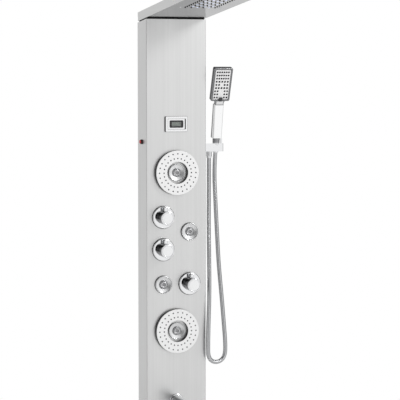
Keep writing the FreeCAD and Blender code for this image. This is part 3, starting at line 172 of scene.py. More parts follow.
def mirror(name, colour, rough=0.05):
    """Bright plating, with the faint haze that water leaves."""
    paint = Paint(name, colour, rough, 1.0)
    haze = paint.noise(evenly(40.0), 5.0, 0.6)
    paint.vary("Roughness", haze, rough, rough + 0.05, 0.45, 0.75)
    paint.tint(haze, shade(colour, 0.98), colour)
    ripple = paint.noise(evenly(25.0), 1.0, 0.3)
    paint.bump(ripple, 0.00003, 0.3)
    return paint.material


def moulded(name, colour, rough, grain=0.00002, coat=0.0, speckle=0.03, shine=0.5):
    """Moulded plastic or rubber, with a fine skin."""
    paint = Paint(name, colour, rough, 0.0, Coat_Weight=coat, Specular_IOR_Level=shine)
    skin = paint.noise(evenly(700.0), 3.0, 0.6)
    clouds = paint.noise(evenly(14.0), 2.0, 0.5)
    paint.tint(clouds, shade(colour, 1 - speckle), shade(colour, 1 + speckle))
    paint.vary("Roughness", clouds, max(0.02, rough - 0.04), rough + 0.06)
    paint.bump(skin, grain, 0.5)
    return paint.material


def cast(name, colour, rough):
    """Sand-cast brass, grainy, with tarnish in patches."""
    paint = Paint(name, colour, rough, 1.0)
    grain = paint.noise(evenly(450.0), 4.0, 0.7)
    patches = paint.noise(evenly(22.0), 4.0, 0.6)
    paint.tint(patches, shade(colour, 0.72), shade(colour, 1.08))
    paint.vary("Roughness", patches, rough - 0.06, rough + 0.14)
    paint.bump(grain, 0.00012, 0.7)
    return paint.material


def galvanised(name, colour):
    """Zinc-coated strip, with its frosty crystals."""
    paint = Paint(name, colour, 0.4, 1.0)
    crystals = paint.cells(evenly(160.0)).outputs["Color"]
    paint.tint(crystals, shade(colour, 0.82), shade(colour, 1.12), 0.2, 0.8)
    paint.vary("Roughness", crystals, 0.3, 0.5, 0.2, 0.8)
    return paint.material


STEEL = brushed("Steel Brushed", (0.700, 0.702, 0.700), (1500.0, 1500.0, 9.0))
STEEL_HEAD = brushed("Steel Brushed Head", (0.700, 0.702, 0.700), (1500.0, 9.0, 1500.0), 0.28)
# the spray plate's steel is near-black: a painted dark reflection, far darker than polished steel itself
STEEL_PAINTED_DARK = brushed("Steel Polished Painted Dark Reflection", (0.105, 0.107, 0.114), (700.0, 6.0, 700.0), 0.09, 0.02)
CHROME = mirror("Chrome", (0.830, 0.835, 0.845))
CHROME_SATIN = mirror("Chrome Satin", (0.860, 0.865, 0.870), 0.16)
CHROME_DISH = mirror("Chrome Dish", (0.800, 0.805, 0.810), 0.30)
CHROME_BRIGHT = mirror("Chrome Bright", (0.950, 0.952, 0.955))
# the knob barrels' chrome, made near-black: a painted dark reflection
CHROME_PAINTED_DARK = mirror("Chrome Painted Dark Reflection", (0.085, 0.086, 0.090), 0.10)
NICKEL = mirror("Satin Nickel", (0.560, 0.562, 0.570), 0.22)
# the hand shower's rim, neck and ferrule: chrome made dark grey, a painted reflection
CHROME_PAINTED_GREY = mirror("Chrome Painted Grey Reflection", (0.330, 0.332, 0.340), 0.26)
HOSE = mirror("Chrome Hose", (0.560, 0.565, 0.575), 0.16)
ZINC = galvanised("Zinc Strip", (0.56, 0.57, 0.58))
BRASS = cast("Brass Cast", (0.70, 0.50, 0.22), 0.38)
PIPE = moulded("Pipe Plastic", (0.62, 0.63, 0.64), 0.4)
WHITE = moulded("White Plastic", (0.90, 0.90, 0.90), 0.2, 0.00001, 0.3, 0.01)
BLACK = moulded("Black Plastic", (0.018, 0.018, 0.019), 0.42)
RUBBER = moulded("Black Rubber", (0.02, 0.02, 0.02), 0.7, 0.00004)
# near-black silicone: the nozzles' own dark colour, darkened further as painted shade in the ring's holes
SILICONE_AND_HOLE_SHADE = moulded("Silicone And Painted Hole Shade", (0.050, 0.050, 0.054), 0.6, 0.00003, shine=0.3)
SILICONE_DARK = moulded("Dark Silicone", (0.010, 0.010, 0.011), 0.7, 0.00003, shine=0.15)
GREY = moulded("Grey Plastic", (0.33, 0.33, 0.34), 0.35)
# the hand shower's dark plastic back, made near-black so that the handle's edges also show painted shade
DARK_PLASTIC_AND_SHADE = moulded("Dark Grey Plastic And Painted Shade", (0.040, 0.040, 0.043), 0.25, 0.00001, 0.1)
RED = moulded("Red Plastic", (0.55, 0.02, 0.02), 0.25, 0.00001, 0.4)


def make_lens():
    """The light's lens, with a faint bluish glow."""
    paint = Paint("Light Lens", (0.60, 0.70, 1.0), 0.25, 0.0, Coat_Weight=0.6)
    glow = paint.noise(evenly(60.0), 1.0, 0.4)
    paint.tint(glow, (0.50, 0.60, 0.95), (0.66, 0.74, 1.0))
    paint.set("Emission Color", (0.55, 0.65, 1.0, 1.0))
    paint.set("Emission Strength", 0.9)
    return paint.material


def make_glass():
    """The clear window of the display."""
    paint = Paint("Display Glass", (0.97, 0.98, 0.97), 0.03, 0.0, Transmission_Weight=1.0, IOR=1.45)
    film = paint.noise(evenly(80.0), 2.0, 0.5)
    paint.vary("Roughness", film, 0.02, 0.06)
    return paint.material


def make_screen():
    """The unlit liquid crystal panel: grey-green, with the faint dots of its cells."""
    paint = Paint("Display Screen", (0.30, 0.34, 0.31), 0.3, 0.0, Coat_Weight=0.2)
    dots = paint.cells(evenly(1500.0))
    dots.inputs["Randomness"].default_value = 0.0
    paint.tint(dots.outputs["Distance"], (0.27, 0.31, 0.28), (0.36, 0.40, 0.37), 0.2, 0.8)
    return paint.material


LENS, GLASS, SCREEN = make_lens(), make_glass(), make_screen()

CAD_FINISH = {
    "panel_shell": STEEL, "head_shell": STEEL_HEAD, "head_spray_plate": STEEL_PAINTED_DARK,
    "wall_brackets": ZINC, "upper_hanger": ZINC, "lower_hanger": ZINC, "head_spacer": RUBBER,
    "head_water_chamber": BLACK, "display_module": BLACK, "display_window": GLASS,
    "jet_and_ring_nuts": BRASS, "valve_cartridges": BRASS, "valve_body": BRASS,
    "holder_arm": CHROME,
}
for name, material in CAD_FINISH.items():
    for held in nodes[name].material_slots:
        held.material = material


# ---------------------------------------------------------------- shapes
SHARP = 35.0        # edges with a larger angle, in degrees, stay sharp


def turn(axis, degrees):
    return Matrix.Rotation(math.radians(degrees), 4, axis)


def at(x, y, z):
    return Matrix.Translation(Vector((x, y, z)) * MM)


# turned and flat forms grow along +Z; these point that way out of the face, out of the left side, and down
FORWARD, LEFTWARD, DOWNWARD = turn("X", 90), turn("Y", -90), turn("X", 180)


def softened(corners, closed=False):
    """Corners (x, y) or (x, y, radius); those with a radius are rounded."""
    steps = 5
    out = []
    count = len(corners)
    for k, corner in enumerate(corners):
        here = Vector(corner[:2])
        radius = corner[2] if len(corner) > 2 else 0.0
        if radius <= 0 or (not closed and k in (0, count - 1)):
            out.append(here)
            continue
        back = Vector(corners[k - 1][:2]) - here
        ahead = Vector(corners[(k + 1) % count][:2]) - here
        angle = back.angle(ahead)
        reach = radius / math.tan(angle / 2)
        first, last = here + back.normalized() * reach, here + ahead.normalized() * reach
        inward = (back.normalized() + ahead.normalized()).normalized()
        middle = here + inward * (radius / math.sin(angle / 2))
        one, two = first - middle, last - middle
        sweep = one.angle_signed(two)
        for j in range(steps + 1):
            a = -sweep * j / steps
            out.append(middle + Vector((one.x * math.cos(a) - one.y * math.sin(a),
                                        one.x * math.sin(a) + one.y * math.cos(a))))
    return out


def finish_piece(name, bm, material, body, replaces=(), angle=SHARP):
    """Makes an object of a finished form, with its body and the solids that it replaces."""
    bmesh.ops.recalc_face_normals(bm, faces=bm.faces)
    mesh = bpy.data.meshes.new(name)
    bm.to_mesh(mesh)
    bm.free()
    mesh.shade_smooth()
    mesh.set_sharp_from_angle(angle=math.radians(angle))
    piece = bpy.data.objects.new(name, mesh)
    bpy.context.scene.collection.objects.link(piece)
    mesh.materials.append(material)
    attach(piece, body)
    if replaces:
        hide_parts(*replaces)
    return piece


def lathe_into(bm, profile, matrix, sides):
    """Adds a turned form to bm: profile of (radius, height) in millimetres."""
    rings = []
    for radius, height in profile:
        if radius < 1e-4:
            rings.append([bm.verts.new(matrix @ Vector((0, 0, height * MM)))])
            continue
        ring = []
        for k in range(sides):
            a = 2 * math.pi * k / sides
            point = Vector((radius * math.cos(a), radius * math.sin(a), height))
            ring.append(bm.verts.new(matrix @ (point * MM)))
        rings.append(ring)
    for low, high in zip(rings, rings[1:]):
        if len(low) == 1 and len(high) == 1:
            continue
        for k in range(sides):
            n = (k + 1) % sides
            corners = [low[k % len(low)], low[n % len(low)], high[n % len(high)], high[k % len(high)]]
            bm.faces.new(dict.fromkeys(corners))


def turned(name, profile, matrix, material, body, replaces=(), sides=64):
    bm = bmesh.new()
    lathe_into(bm, softened(profile), matrix, sides)
    return finish_piece(name, bm, material, body, replaces)


def skin_into(bm, rings):
    """Adds the skin between rings of equally many corners, closed at both ends."""
    sides = len(rings[0])
    for low, high in zip(rings, rings[1:]):
        for k in range(sides):
            n = (k + 1) % sides
            bm.faces.new((low[k], low[n], high[n], high[k]))
    bm.faces.new(list(reversed(rings[0])))
    bm.faces.new(rings[-1])


def loft_into(bm, sections, matrix):
    """Adds a form through sections (height, outline), from one end to the other."""
    skin_into(bm, [[bm.verts.new(matrix @ (Vector((x, y, height)) * MM)) for x, y in outline]
                   for height, outline in sections])


def tube_into(bm, points, radius_at, sides=20):
    """Adds a tube along points in metres, its frame carried along without twist."""
    tangent = (points[1] - points[0]).normalized()
    helper = Vector((0, 1, 0)) if abs(tangent.y) < 0.9 else Vector((1, 0, 0))
    across = tangent.cross(helper).normalized()
    rings = []
    for k, point in enumerate(points):
        before, after = points[max(k - 1, 0)], points[min(k + 1, len(points) - 1)]
        tangent = (after - before).normalized()
        across = (across - tangent * across.dot(tangent)).normalized()
        other = tangent.cross(across)
        r = radius_at(k)
        rings.append([bm.verts.new(point + across * (r * math.cos(2 * math.pi * j / sides))
                                   + other * (r * math.sin(2 * math.pi * j / sides))) for j in range(sides)])
    skin_into(bm, rings)


def inside(point, loop):
    """Whether a flat point lies in a closed loop."""
    hit = False
    for a, b in zip(loop, list(loop[1:]) + [loop[0]]):
        if (a[1] > point.y) != (b[1] > point.y):
            if point.x < (b[0] - a[0]) * (point.y - a[1]) / (b[1] - a[1]) + a[0]:
                hit = not hit
    return hit


def flat_into(bm, outline, holes, low, high, matrix):
    """Adds a plate between two heights, with holes through it; loops are in millimetres."""
    points, edges = [], []
    for loop in [outline] + list(holes):
        first = len(points)
        points += [Vector(p[:2]) for p in loop]
        edges += [(first + k, first + (k + 1) % len(loop)) for k in range(len(loop))]
    verts, _edges, triangles, *_ = delaunay_2d_cdt(points, edges, [], 1, 1e-5)
    faces = []
    for triangle in triangles:
        centre = sum((verts[k] for k in triangle), Vector((0, 0))) / 3
        if not any(inside(centre, hole) for hole in holes):
            faces.append(triangle)
    bottom, top = [[bm.verts.new(matrix @ (Vector((v.x, v.y, level)) * MM)) for v in verts]
                   for level in (low, high)]
    borders = {}
    for face in faces:
        bm.faces.new([top[k] for k in face])
        bm.faces.new([bottom[k] for k in reversed(face)])
        for a, b in zip(face, list(face[1:]) + [face[0]]):
            borders[(a, b)] = True
    for a, b in borders:
        if (b, a) not in borders:
            bm.faces.new((bottom[a], bottom[b], top[b], top[a]))


def box_loop(x, y, width, height, radius):
    w, h = width / 2, height / 2
    return softened([(x - w, y - h, radius), (x + w, y - h, radius), (x + w, y + h, radius),
                     (x - w, y + h, radius)], closed=True)


def spots(radius, count):
    """Points spread evenly round a circle."""
    return [(radius * math.cos(2 * math.pi * k / count), radius * math.sin(2 * math.pi * k / count))
            for k in range(count)]


def circle(x, y, radius, sides):
    return [Vector((x + across, y + up)) for across, up in spots(radius, sides)]


def edged(piece, width, segments=3):
    """Rounds the sharp edges of a piece."""
    made = piece.modifiers.new("Edges", "BEVEL")
    made.width = width * MM
    made.segments = segments
    made.limit_method = "ANGLE"
    made.angle_limit = math.radians(40)
    made.miter_outer = "MITER_ARC"


def plate(name, outline, low, high, matrix, material, body, replaces=(), edge=0.0, holes=()):
    """A flat piece; without holes each side is one face, so that its edges bevel cleanly."""
    bm = bmesh.new()
    if holes:
        flat_into(bm, outline, holes, low, high, matrix)
    else:
        loft_into(bm, [(low, outline), (high, outline)], matrix)
    piece = finish_piece(name, bm, material, body, replaces)
    if edge:
        edged(piece, edge)


# ---------------------------------------------------------------- camera
# its place, turn and lens are fitted to the column's edges in the photograph
eye = bpy.data.cameras.new("View")
eye.lens = 142.74
eye.sensor_width = 36.0
eye.clip_end = 60.0
camera = bpy.data.objects.new("View", eye)
camera.location = (-1.5570, -4.9005, -0.0278)
camera.rotation_euler = (math.radians(90 - 4.49), 0.0, math.radians(-18.80))
bpy.context.scene.collection.objects.link(camera)
bpy.context.scene.camera = camera


# ---------------------------------------------------------------- shower hose
HOSE_START = (OUTLET_X, SETBACK, -295.0)
# down from the outlet, round the loop in front of the column's side, and up to the cone nut
HOSE_ROUTE = (
    (126, -46, -385), (121, -58, -495), (115, -80, -610), (110, -98, -725), (104, -106, -830),
    (102, -108, -893), (102.3, -107.5, -935), (120, -105, -953.5), (146, -101, -953.5), (164, -98, -935),
    (165.5, -96, -893), (162, -92, -835), (157, -84, -745), (151, -71, -640), (150, -55, -525),
    (149, -42, -420),
)
HOSE_TAIL = (149.0, -31.3, -335.6)
HOSE_END = (149.0, -42.8, -276.7)
# the interlocked strip: a round rib and a narrow groove every 3.2 mm, as radii one step apart
RIB = (7.0, 6.97, 6.72, 6.93)
RIB_STEP = 0.8


def hose_path():
    """Points along the hose's own smooth line."""
    curve = bpy.data.curves.new("Hose Line", "CURVE")
    curve.dimensions = "3D"
    route = [HOSE_START, *HOSE_ROUTE, HOSE_TAIL, HOSE_END]
    line = curve.splines.new("NURBS")
    line.points.add(len(route) - 1)
    for point, (x, y, z) in zip(line.points, route):
        point.co = (x * MM, y * MM, z * MM, 1.0)
    line.order_u = 3
    line.use_endpoint_u = True
    line.resolution_u = 24
    holder = bpy.data.objects.new("Hose Line", curve)
    mesh = bpy.data.meshes.new_from_object(holder)
    points = [v.co.copy() for v in mesh.vertices]
    bpy.data.objects.remove(holder)
    bpy.data.meshes.remove(mesh)
    return points


def resampled(points, pitch):
    """The same line in equal steps of about one pitch."""
    lengths = [0.0]
    for a, b in zip(points, points[1:]):
        lengths.append(lengths[-1] + (b - a).length)
    count = round(lengths[-1] / pitch)
    out, k = [], 0
    for j in range(count + 1):
        want = lengths[-1] * j / count
        while k < len(points) - 2 and lengths[k + 1] < want:
            k += 1
        span = lengths[k + 1] - lengths[k]
        out.append(points[k].lerp(points[k + 1], (want - lengths[k]) / span))
    return out


ribs = resampled(hose_path(), RIB_STEP * MM)
bm = bmesh.new()
tube_into(bm, ribs, lambda k: RIB[k % len(RIB)] * MM)
hose = finish_piece("shower_hose_strip", bm, HOSE, "column", ("shower_hose",), 60.0)


# ---------------------------------------------------------------- massage rings and jets
RING_OUTER, RING_INNER = 71.0, 35.0
FACE_OUTER, FACE_INNER = 69.6, 36.4     # the flat part of the face, between its rounded margins
FACE_LOW, FACE_TOP = 13.6, 16.0
HOLE_CIRCLES = (45.8, 60.8)
HOLE_COUNT = 24


def ring_face(name, z):
    """A white perforated face with a soft nozzle in each hole, and the black body behind it."""
    places = [place for radius in HOLE_CIRCLES for place in spots(radius, HOLE_COUNT)]
    frame_at = at(0, FRONT, z) @ FORWARD
    bm = bmesh.new()
    holes = [circle(0, 0, FACE_INNER, 64)] + [circle(x, y, 2.3, 14) for x, y in places]
    flat_into(bm, circle(0, 0, FACE_OUTER, 96), holes, FACE_LOW + 0.1, FACE_TOP - 0.02, frame_at)
    lathe_into(bm, softened([
        (FACE_OUTER, FACE_LOW), (RING_OUTER, FACE_LOW), (RING_OUTER, FACE_TOP, 1.2), (FACE_OUTER, FACE_TOP)]),
        frame_at, 96)
    lathe_into(bm, softened([
        (FACE_INNER, FACE_TOP), (RING_INNER, FACE_TOP, 1.2), (RING_INNER, FACE_LOW), (FACE_INNER, FACE_LOW)]),
        frame_at, 64)
    face = finish_piece(f"{name}_ring_face", bm, WHITE, "column")
    # the nozzles are dark partly from their silicone, partly as painted shade in the holes
    nub = softened([(0, 13.9), (0.75, 13.9), (0.75, 15.0), (1.5, 15.5, 0.2), (2.2, 15.0), (2.2, 13.6)])
    bm = bmesh.new()
    for x, y in places:
        lathe_into(bm, nub, frame_at @ at(x, y, 0), 12)
    finish_piece(f"{name}_ring_nozzles", bm, SILICONE_AND_HOLE_SHADE, "column")
    base = turned(f"{name}_ring_body", [
        (35.2, 0.0), (RING_OUTER, 0.0), (RING_OUTER, 13.5, 0.3), (35.2, 13.5, 0.3), (35.2, 0.0)],
        frame_at, BLACK, "column", sides=96)
    return face, base


rings = [ring_face("upper", UPPER_RING), ring_face("lower", LOWER_RING)]
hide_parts("ring_plates")
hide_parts("ring_bases")

BALL_RADIUS = 12.45
BALL_LOW, BALL_HIGH = -58, 46           # the ball's round part, in degrees from its equator
BALL_STEPS = 12


def jet(name, x, z):
    """The dished rosette and the swivel nozzle in it."""
    frame_at = at(x, FRONT, z) @ FORWARD
    body = turned(f"{name}_jet_rosette", [
        (0.0, -17.2), (15.1, -17.2, 0.6), (15.1, 0.02), (28.0, 0.02), (28.0, 8.0, 1.4), (26.0, 8.0, 1.2),
        (25.2, 4.6, 1.5), (14.8, 2.6, 0.8), (14.4, 0.0), (12.8, -1.0), (12.8, -14.8), (0.0, -14.8)],
        frame_at, CHROME_DISH, "column", sides=72)
    ball_at = at(x, FRONT + 2.0, z) @ FORWARD
    profile = []
    for k in range(BALL_STEPS + 1):
        a = math.radians(BALL_LOW + k * (BALL_HIGH - BALL_LOW) / BALL_STEPS)
        profile.append((BALL_RADIUS * math.cos(a), BALL_RADIUS * math.sin(a)))
    ball = [(0.0, profile[0][1])] + profile + [
        (8.3, 9.0, 0.4), (6.9, 9.0, 0.3), (6.7, 8.2), (5.2, 8.0, 0.3), (4.9, 3.0), (0.0, 3.0)]
    turned(f"{name}_jet_swivel", ball, ball_at, NICKEL, f"{name}_jet_ball",
           (f"{name}_jet_nozzle",), 48)
    turned(f"{name}_jet_insert", [
        (0.0, 6.9), (1.0, 6.9), (1.6, 7.6, 0.3), (2.6, 7.7, 0.3), (3.0, 6.6), (4.8, 6.4), (4.8, 3.2),
        (0.0, 3.2)], ball_at, GREY, f"{name}_jet_ball", sides=32)
    return body


jets = [jet(name, x, z) for name, (x, z) in JETS.items()]
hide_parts("jet_bodies")


# ---------------------------------------------------------------- knobs and rosettes
KNOB_BACK, KNOB_FRONT = 7.5, 49.5       # heights over the column's face
KNOB_RADIUS = 21.95
CAP_DEPTH = 2.8
TAB_HALF, TAB_TOP = 5.5, 34.5


def rosette(name, x, z, radius, stand, bore):
    return turned(name, [
        (bore, 0.0), (radius, 0.0), (radius, stand, 2.6), (bore, stand)],
        at(x, FRONT, z) @ FORWARD, CHROME, "column", sides=80)


def shade_rim(name, x, z, radius, height):
    """A black ring round the foot of a rosette: painted shade, the dark outline at its edge."""
    inner = radius - 4.0
    turned(f"{name}_gasket", [(inner, 0.0), (radius, 0.0), (radius, height, 0.8), (inner, height)],
           at(x, FRONT, z) @ FORWARD, BLACK, "column", sides=80)


def knob(name, x, z):
    """The barrel, chrome darkened as a painted dark reflection, with its bright rim, satin cap, thumb tab and
    spindle.
    """
    frame_at = at(x, FRONT, z) @ FORWARD
    body = f"{name}_knob_body"
    back, front = KNOB_BACK, KNOB_FRONT
    turned(f"{name}_knob_barrel", [
        (0.0, back), (20.6, back), (21.8, back + 1.2, 0.5), (21.8, back + 4.0), (21.2, back + 4.6, 0.2),
        (21.2, back + 5.4), (KNOB_RADIUS, back + 6.0, 0.2), (KNOB_RADIUS, front - CAP_DEPTH),
        (0.0, front - CAP_DEPTH)], frame_at, CHROME_PAINTED_DARK, body, (f"{name}_knob",), 72)
    turned(f"{name}_knob_rim", [
        (0.0, front - CAP_DEPTH), (KNOB_RADIUS, front - CAP_DEPTH), (KNOB_RADIUS, front, 1.5),
        (18.4, front, 0.4), (18.0, front - 0.9), (0.0, front - 0.9)],
        frame_at, CHROME, body, sides=72)
    turned(f"{name}_knob_cap", [
        (0.0, front - 1.0), (17.6, front - 1.0), (17.6, front - 0.2, 0.5), (0.0, front)],
        frame_at, CHROME_SATIN, body)
    tab = softened([(TAB_HALF, 15.0), (TAB_HALF, 31.4, 3.5), (3.4, TAB_TOP, 3.5), (-3.4, TAB_TOP, 3.5),
                    (-TAB_HALF, 31.4, 3.5), (-TAB_HALF, 15.0)])
    plate(f"{name}_knob_tab", tab, back + 6.0, back + 22.0, frame_at, CHROME, body, edge=1.3)
    turned(f"{name}_knob_spindle", [(0.0, -24.0), (4.6, -24.0, 0.4), (4.9, -23.0), (4.9, back), (0.0, back)],
           frame_at, BRASS, body, sides=32)


rosettes = [rosette(f"{name}_rosette", x, z, 36.0, 7.0, 11.8) for name, (x, z) in KNOBS.items()]
rosettes.append(rosette("spout_rosette", 0.0, SPOUT_Z, 24.0, 4.0, 20.2))
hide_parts("rosettes")
# each knob and side jet gets a black rim at its foot: painted shade round its rosette
for name, (x, z) in KNOBS.items():
    knob(name, x, z)
    shade_rim(f"{name}_knob", x, z, 36.9, 3.4)
for name in ("right", "left"):
    shade_rim(f"{name}_jet", *JETS[name], 28.9, 3.6)


# ---------------------------------------------------------------- spout
spout_at = at(0, FRONT, SPOUT_Z) @ FORWARD
aerator_at = at(0, AERATOR_Y, SPOUT_Z) @ DOWNWARD
turned("spout_tube", [
    (0.0, -24.0), (10.0, -24.0, 0.8), (10.0, 0.0), (20.0, 0.0), (20.0, 118.0, 4.5), (0.0, 118.0)],
    spout_at, CHROME, "column", ("spout",), 72)
turned("spout_collar", [
    (0.0, 10.0), (14.0, 10.0), (14.0, 24.6, 1.2), (13.2, 26.0, 0.5), (12.3, 26.0), (12.1, 24.0), (0.0, 24.0)],
    aerator_at, CHROME, "column")
sieve = [circle(x, y, 0.9, 8)
         for radius, count in ((3.0, 6), (6.0, 12), (9.0, 18)) for x, y in spots(radius, count)]
plate("spout_strainer", circle(0, 0, 11.9, 48), 16.2, 24.4, aerator_at, GREY, "column",
      ("spout_aerator",), holes=sieve)


# ---------------------------------------------------------------- display and switch
display_at = at(0, FRONT, DISPLAY_Z) @ FORWARD
bezel = box_loop(0, 0, 72, 48, 2.5)
bm = bmesh.new()
flat_into(bm, bezel, [box_loop(0, 0, 38.6, 21, 2.0)], 0.0, 2.6, display_at)
flat_into(bm, bezel, [box_loop(0, 0, 59, 34, 2.0)], 2.6, 4.0, display_at)
finish_piece("display_frame", bm, CHROME_SATIN, "column", ("display_bezel",))
# the first two black frames stand off-centre as painted shade: the rim juts out mostly on the left, and the
# strip shows inside the recess's right wall; the mask is the screen's own black border
for name, outline, hole, low, high in (
        ("display_shade_rim", box_loop(-1.0, 0, 75.4, 49.2, 3.0), box_loop(0, 0, 60, 35, 2.0), 0.0, 3.3),
        ("display_shadow_strip", box_loop(0.8, 0, 60.4, 34.4, 2.3), box_loop(-0.4, 0, 57.2, 33.2, 1.6), 2.5, 4.12),
        ("display_mask", box_loop(0, 0, 46.0, 23.6, 3.5), box_loop(0, 0, 31.4, 12.8, 1.2), 2.5, 2.9)):
    plate(name, outline, low, high, display_at, BLACK, "column", holes=[hole])
plate("display_screen", box_loop(0, 0, 34.4, 16.8, 1.6), 1.41, 1.6, display_at, SCREEN, "column")
switch_at = at(SIDE, SETBACK, SWITCH_Z) @ LEFTWARD
turned("switch_collar", [
    (0.0, -16.0), (5.9, -16.0, 0.5), (5.9, 0.0), (7.5, 0.0), (7.5, 5.0, 1.0), (6.2, 5.0, 0.5), (5.85, 4.2),
    (5.85, 1.0), (0.0, 1.0)], switch_at, BLACK, "column", ("switch_bezel",), 48)
turned("switch_button", [(0.0, 2.9), (5.4, 2.9), (5.4, 8.5, 1.2), (3.0, 8.2), (0.0, 8.0)], switch_at, RED,
       "side_switch", ("switch_cap",), 40)


# ---------------------------------------------------------------- rain head
ROWS, COLUMNS, HEAD_PITCH = 11, 6, 19.0
FIRST_ROW = -328.0
SCREW_X = 63.5

head_at = at(*HEAD_PLATE) @ Matrix.Rotation(-HEAD_LEAN, 4, "X")


def head_spot(x, row):
    """A place on the underside of the spray plate, pointing down."""
    return head_at @ at(x, FIRST_ROW - row * HEAD_PITCH, 0) @ DOWNWARD


head_lens = softened([(4.4, 0.0), (4.4, 0.3), (3.2, 0.75, 1.0), (0.0, 0.8)])
lens_ring = softened([(4.4, 0.0), (4.4, 0.7, 0.2), (4.8, 0.7, 0.2), (4.8, 0.0)])
head_nozzle = softened([(2.6, 0.0), (2.5, 0.6, 0.3), (1.6, 1.0, 0.4), (1.3, 2.5, 0.3), (0.6, 2.5, 0.1),
                        (0.5, 1.2), (0.0, 1.2)])
head_screw = softened([(3.0, 0.0), (2.9, 0.6, 0.4), (1.4, 1.55, 2.0), (0.0, 1.6)])
nozzle_bm, lens_bm, ring_bm, screw_bm = bmesh.new(), bmesh.new(), bmesh.new(), bmesh.new()
for row in range(ROWS):
    lens_columns = (2, 4) if row % 2 == 0 else (1, 3)
    for column in range(COLUMNS):
        spot = head_spot((column - (COLUMNS - 1) / 2) * HEAD_PITCH, row)
        if column in lens_columns:
            lathe_into(lens_bm, head_lens, spot, 24)
            lathe_into(ring_bm, lens_ring, spot, 24)
        else:
            lathe_into(nozzle_bm, head_nozzle, spot, 16)
for row in (0, ROWS - 1):
    for x in (-SCREW_X, SCREW_X):
        lathe_into(screw_bm, head_screw, head_spot(x, row), 24)
finish_piece("head_soft_nozzles", nozzle_bm, SILICONE_DARK, "column", ("head_nozzles",))
finish_piece("head_lenses", lens_bm, LENS, "column", ("head_light_lenses",))
finish_piece("head_lens_rings", ring_bm, CHROME, "column")
finish_piece("head_screws", screw_bm, CHROME, "column", ("head_plate_screws",))


# ---------------------------------------------------------------- hose outlet and cone nut
turned("outlet_nut", [
    (0.0, 0.0), (9.5, 0.0), (9.5, -15.0, 1.0), (9.0, -16.0), (8.2, -21.0, 0.6), (7.4, -22.0), (0.0, -22.0)],
    at(OUTLET_X, SETBACK, -273), CHROME, "column", ("hose_outlet_nut",), 48)

cradle_at = at(*CRADLE) @ Matrix.Rotation(LEAN, 4, "X")
CONE_HALF = 17.0


def cone_radius(height):
    """The taper that sits in the cradle: 9.8 mm at its foot, and 1.8 mm more at its top."""
    return 9.8 + 1.8 / (2 * CONE_HALF) * (height + CONE_HALF)


turned("hose_cone", [
    (0.0, -CONE_HALF), (8.6, -CONE_HALF), (9.75, -16.2, 0.6), (cone_radius(-14.0), -14.0),
    (cone_radius(-13.6), -13.6), (cone_radius(14.0), 14.0), (11.2, 14.3), (11.2, 15.0), (11.55, 15.3),
    (11.55, CONE_HALF), (0.0, CONE_HALF)], cradle_at, CHROME, "hand_shower", ("hose_cone_nut",))


# ---------------------------------------------------------------- hand shower
HANDLE_LOW, HANDLE_LENGTH = 32.0, 111.0
FOOT_WIDTH, FOOT_DEPTH = 31.0, 22.0
TOP_WIDTH, TOP_DEPTH = 32.0, 17.0
HANDLE_STEPS = 12
NECK_HEIGHT = 139.0


def superellipse(width, depth, power):
    """The handle's outline: a box with soft sides, the squarer the higher the power."""
    sides = 72
    out = []
    for k in range(sides):
        a = 2 * math.pi * k / sides
        c, s = math.cos(a), math.sin(a)
        out.append((width / 2 * math.copysign(abs(c) ** (2 / power), c),
                    depth / 2 * math.copysign(abs(s) ** (2 / power), s)))
    return out


sections, back_sections = [], []
for k in range(HANDLE_STEPS + 1):
    t = k / HANDLE_STEPS
    ease = t * t * (3 - 2 * t)
    height = HANDLE_LOW + HANDLE_LENGTH * t
    width = FOOT_WIDTH + (TOP_WIDTH - FOOT_WIDTH) * ease
    depth = FOOT_DEPTH + (TOP_DEPTH - FOOT_DEPTH) * ease
    sections.append((height, superellipse(width, depth, 7.0)))
    shell = superellipse(width + 0.8, depth * 0.62, 5.0)
    back_sections.append((height, [(x, y + depth * 0.19 + 0.4) for x, y in shell]))
bm = bmesh.new()
loft_into(bm, sections, cradle_at)
finish_piece("handset_handle", bm, CHROME_BRIGHT, "hand_shower", ("handset_shell",))
# this back shell shows past the handle's sides; its near-black there is painted shade
bm = bmesh.new()
loft_into(bm, back_sections, cradle_at)
finish_piece("handset_handle_back", bm, DARK_PLASTIC_AND_SHADE, "hand_shower")
# the ferrule, and the rim and neck further on, are chrome darkened as painted reflection
turned("handset_ferrule", [
    (0.0, CONE_HALF), (11.4, CONE_HALF), (11.8, 31.0), (10.6, 32.2), (0.0, 32.2)],
    cradle_at, CHROME_PAINTED_GREY, "hand_shower")

# in the spray head's own frame +Z runs up the face and -Y is outward; plates are drawn in x and z
neck_point = cradle_at @ (Vector((0, 0, NECK_HEIGHT)) * MM)
face_at = Matrix.Translation(neck_point) @ Matrix.Rotation(TILT, 4, "X") @ turn("X", 90)
LOW, WIDE, TALL = 18.0, 64.0, 112.0
MIDDLE = LOW + TALL / 2
RIM = 13.0                              # both sides of the rim together
plate("handset_back", box_loop(0, MIDDLE, WIDE - 0.4, TALL - 0.4, 5.0), -6.5, 6.5, face_at, DARK_PLASTIC_AND_SHADE,
      "hand_shower", edge=2.6)
bm = bmesh.new()
flat_into(bm, box_loop(0, MIDDLE, WIDE, TALL, 5.0), [box_loop(0, MIDDLE, WIDE - RIM, TALL - RIM, 3.0)],
          6.4, 11.5, face_at)
edged(finish_piece("handset_bezel", bm, CHROME_PAINTED_GREY, "hand_shower", ("handset_rim",)), 2.6, 4)
neck = softened([(-14.0, 3.0, 1.5), (14.0, 3.0, 1.5), (14.5, 12.0, 4.0), (19.5, 22.0, 3.0),
                 (-19.5, 22.0, 3.0), (-14.5, 12.0, 4.0)], closed=True)
plate("handset_neck", neck, -6.3, 9.6, face_at, CHROME_PAINTED_GREY, "hand_shower", edge=1.6)
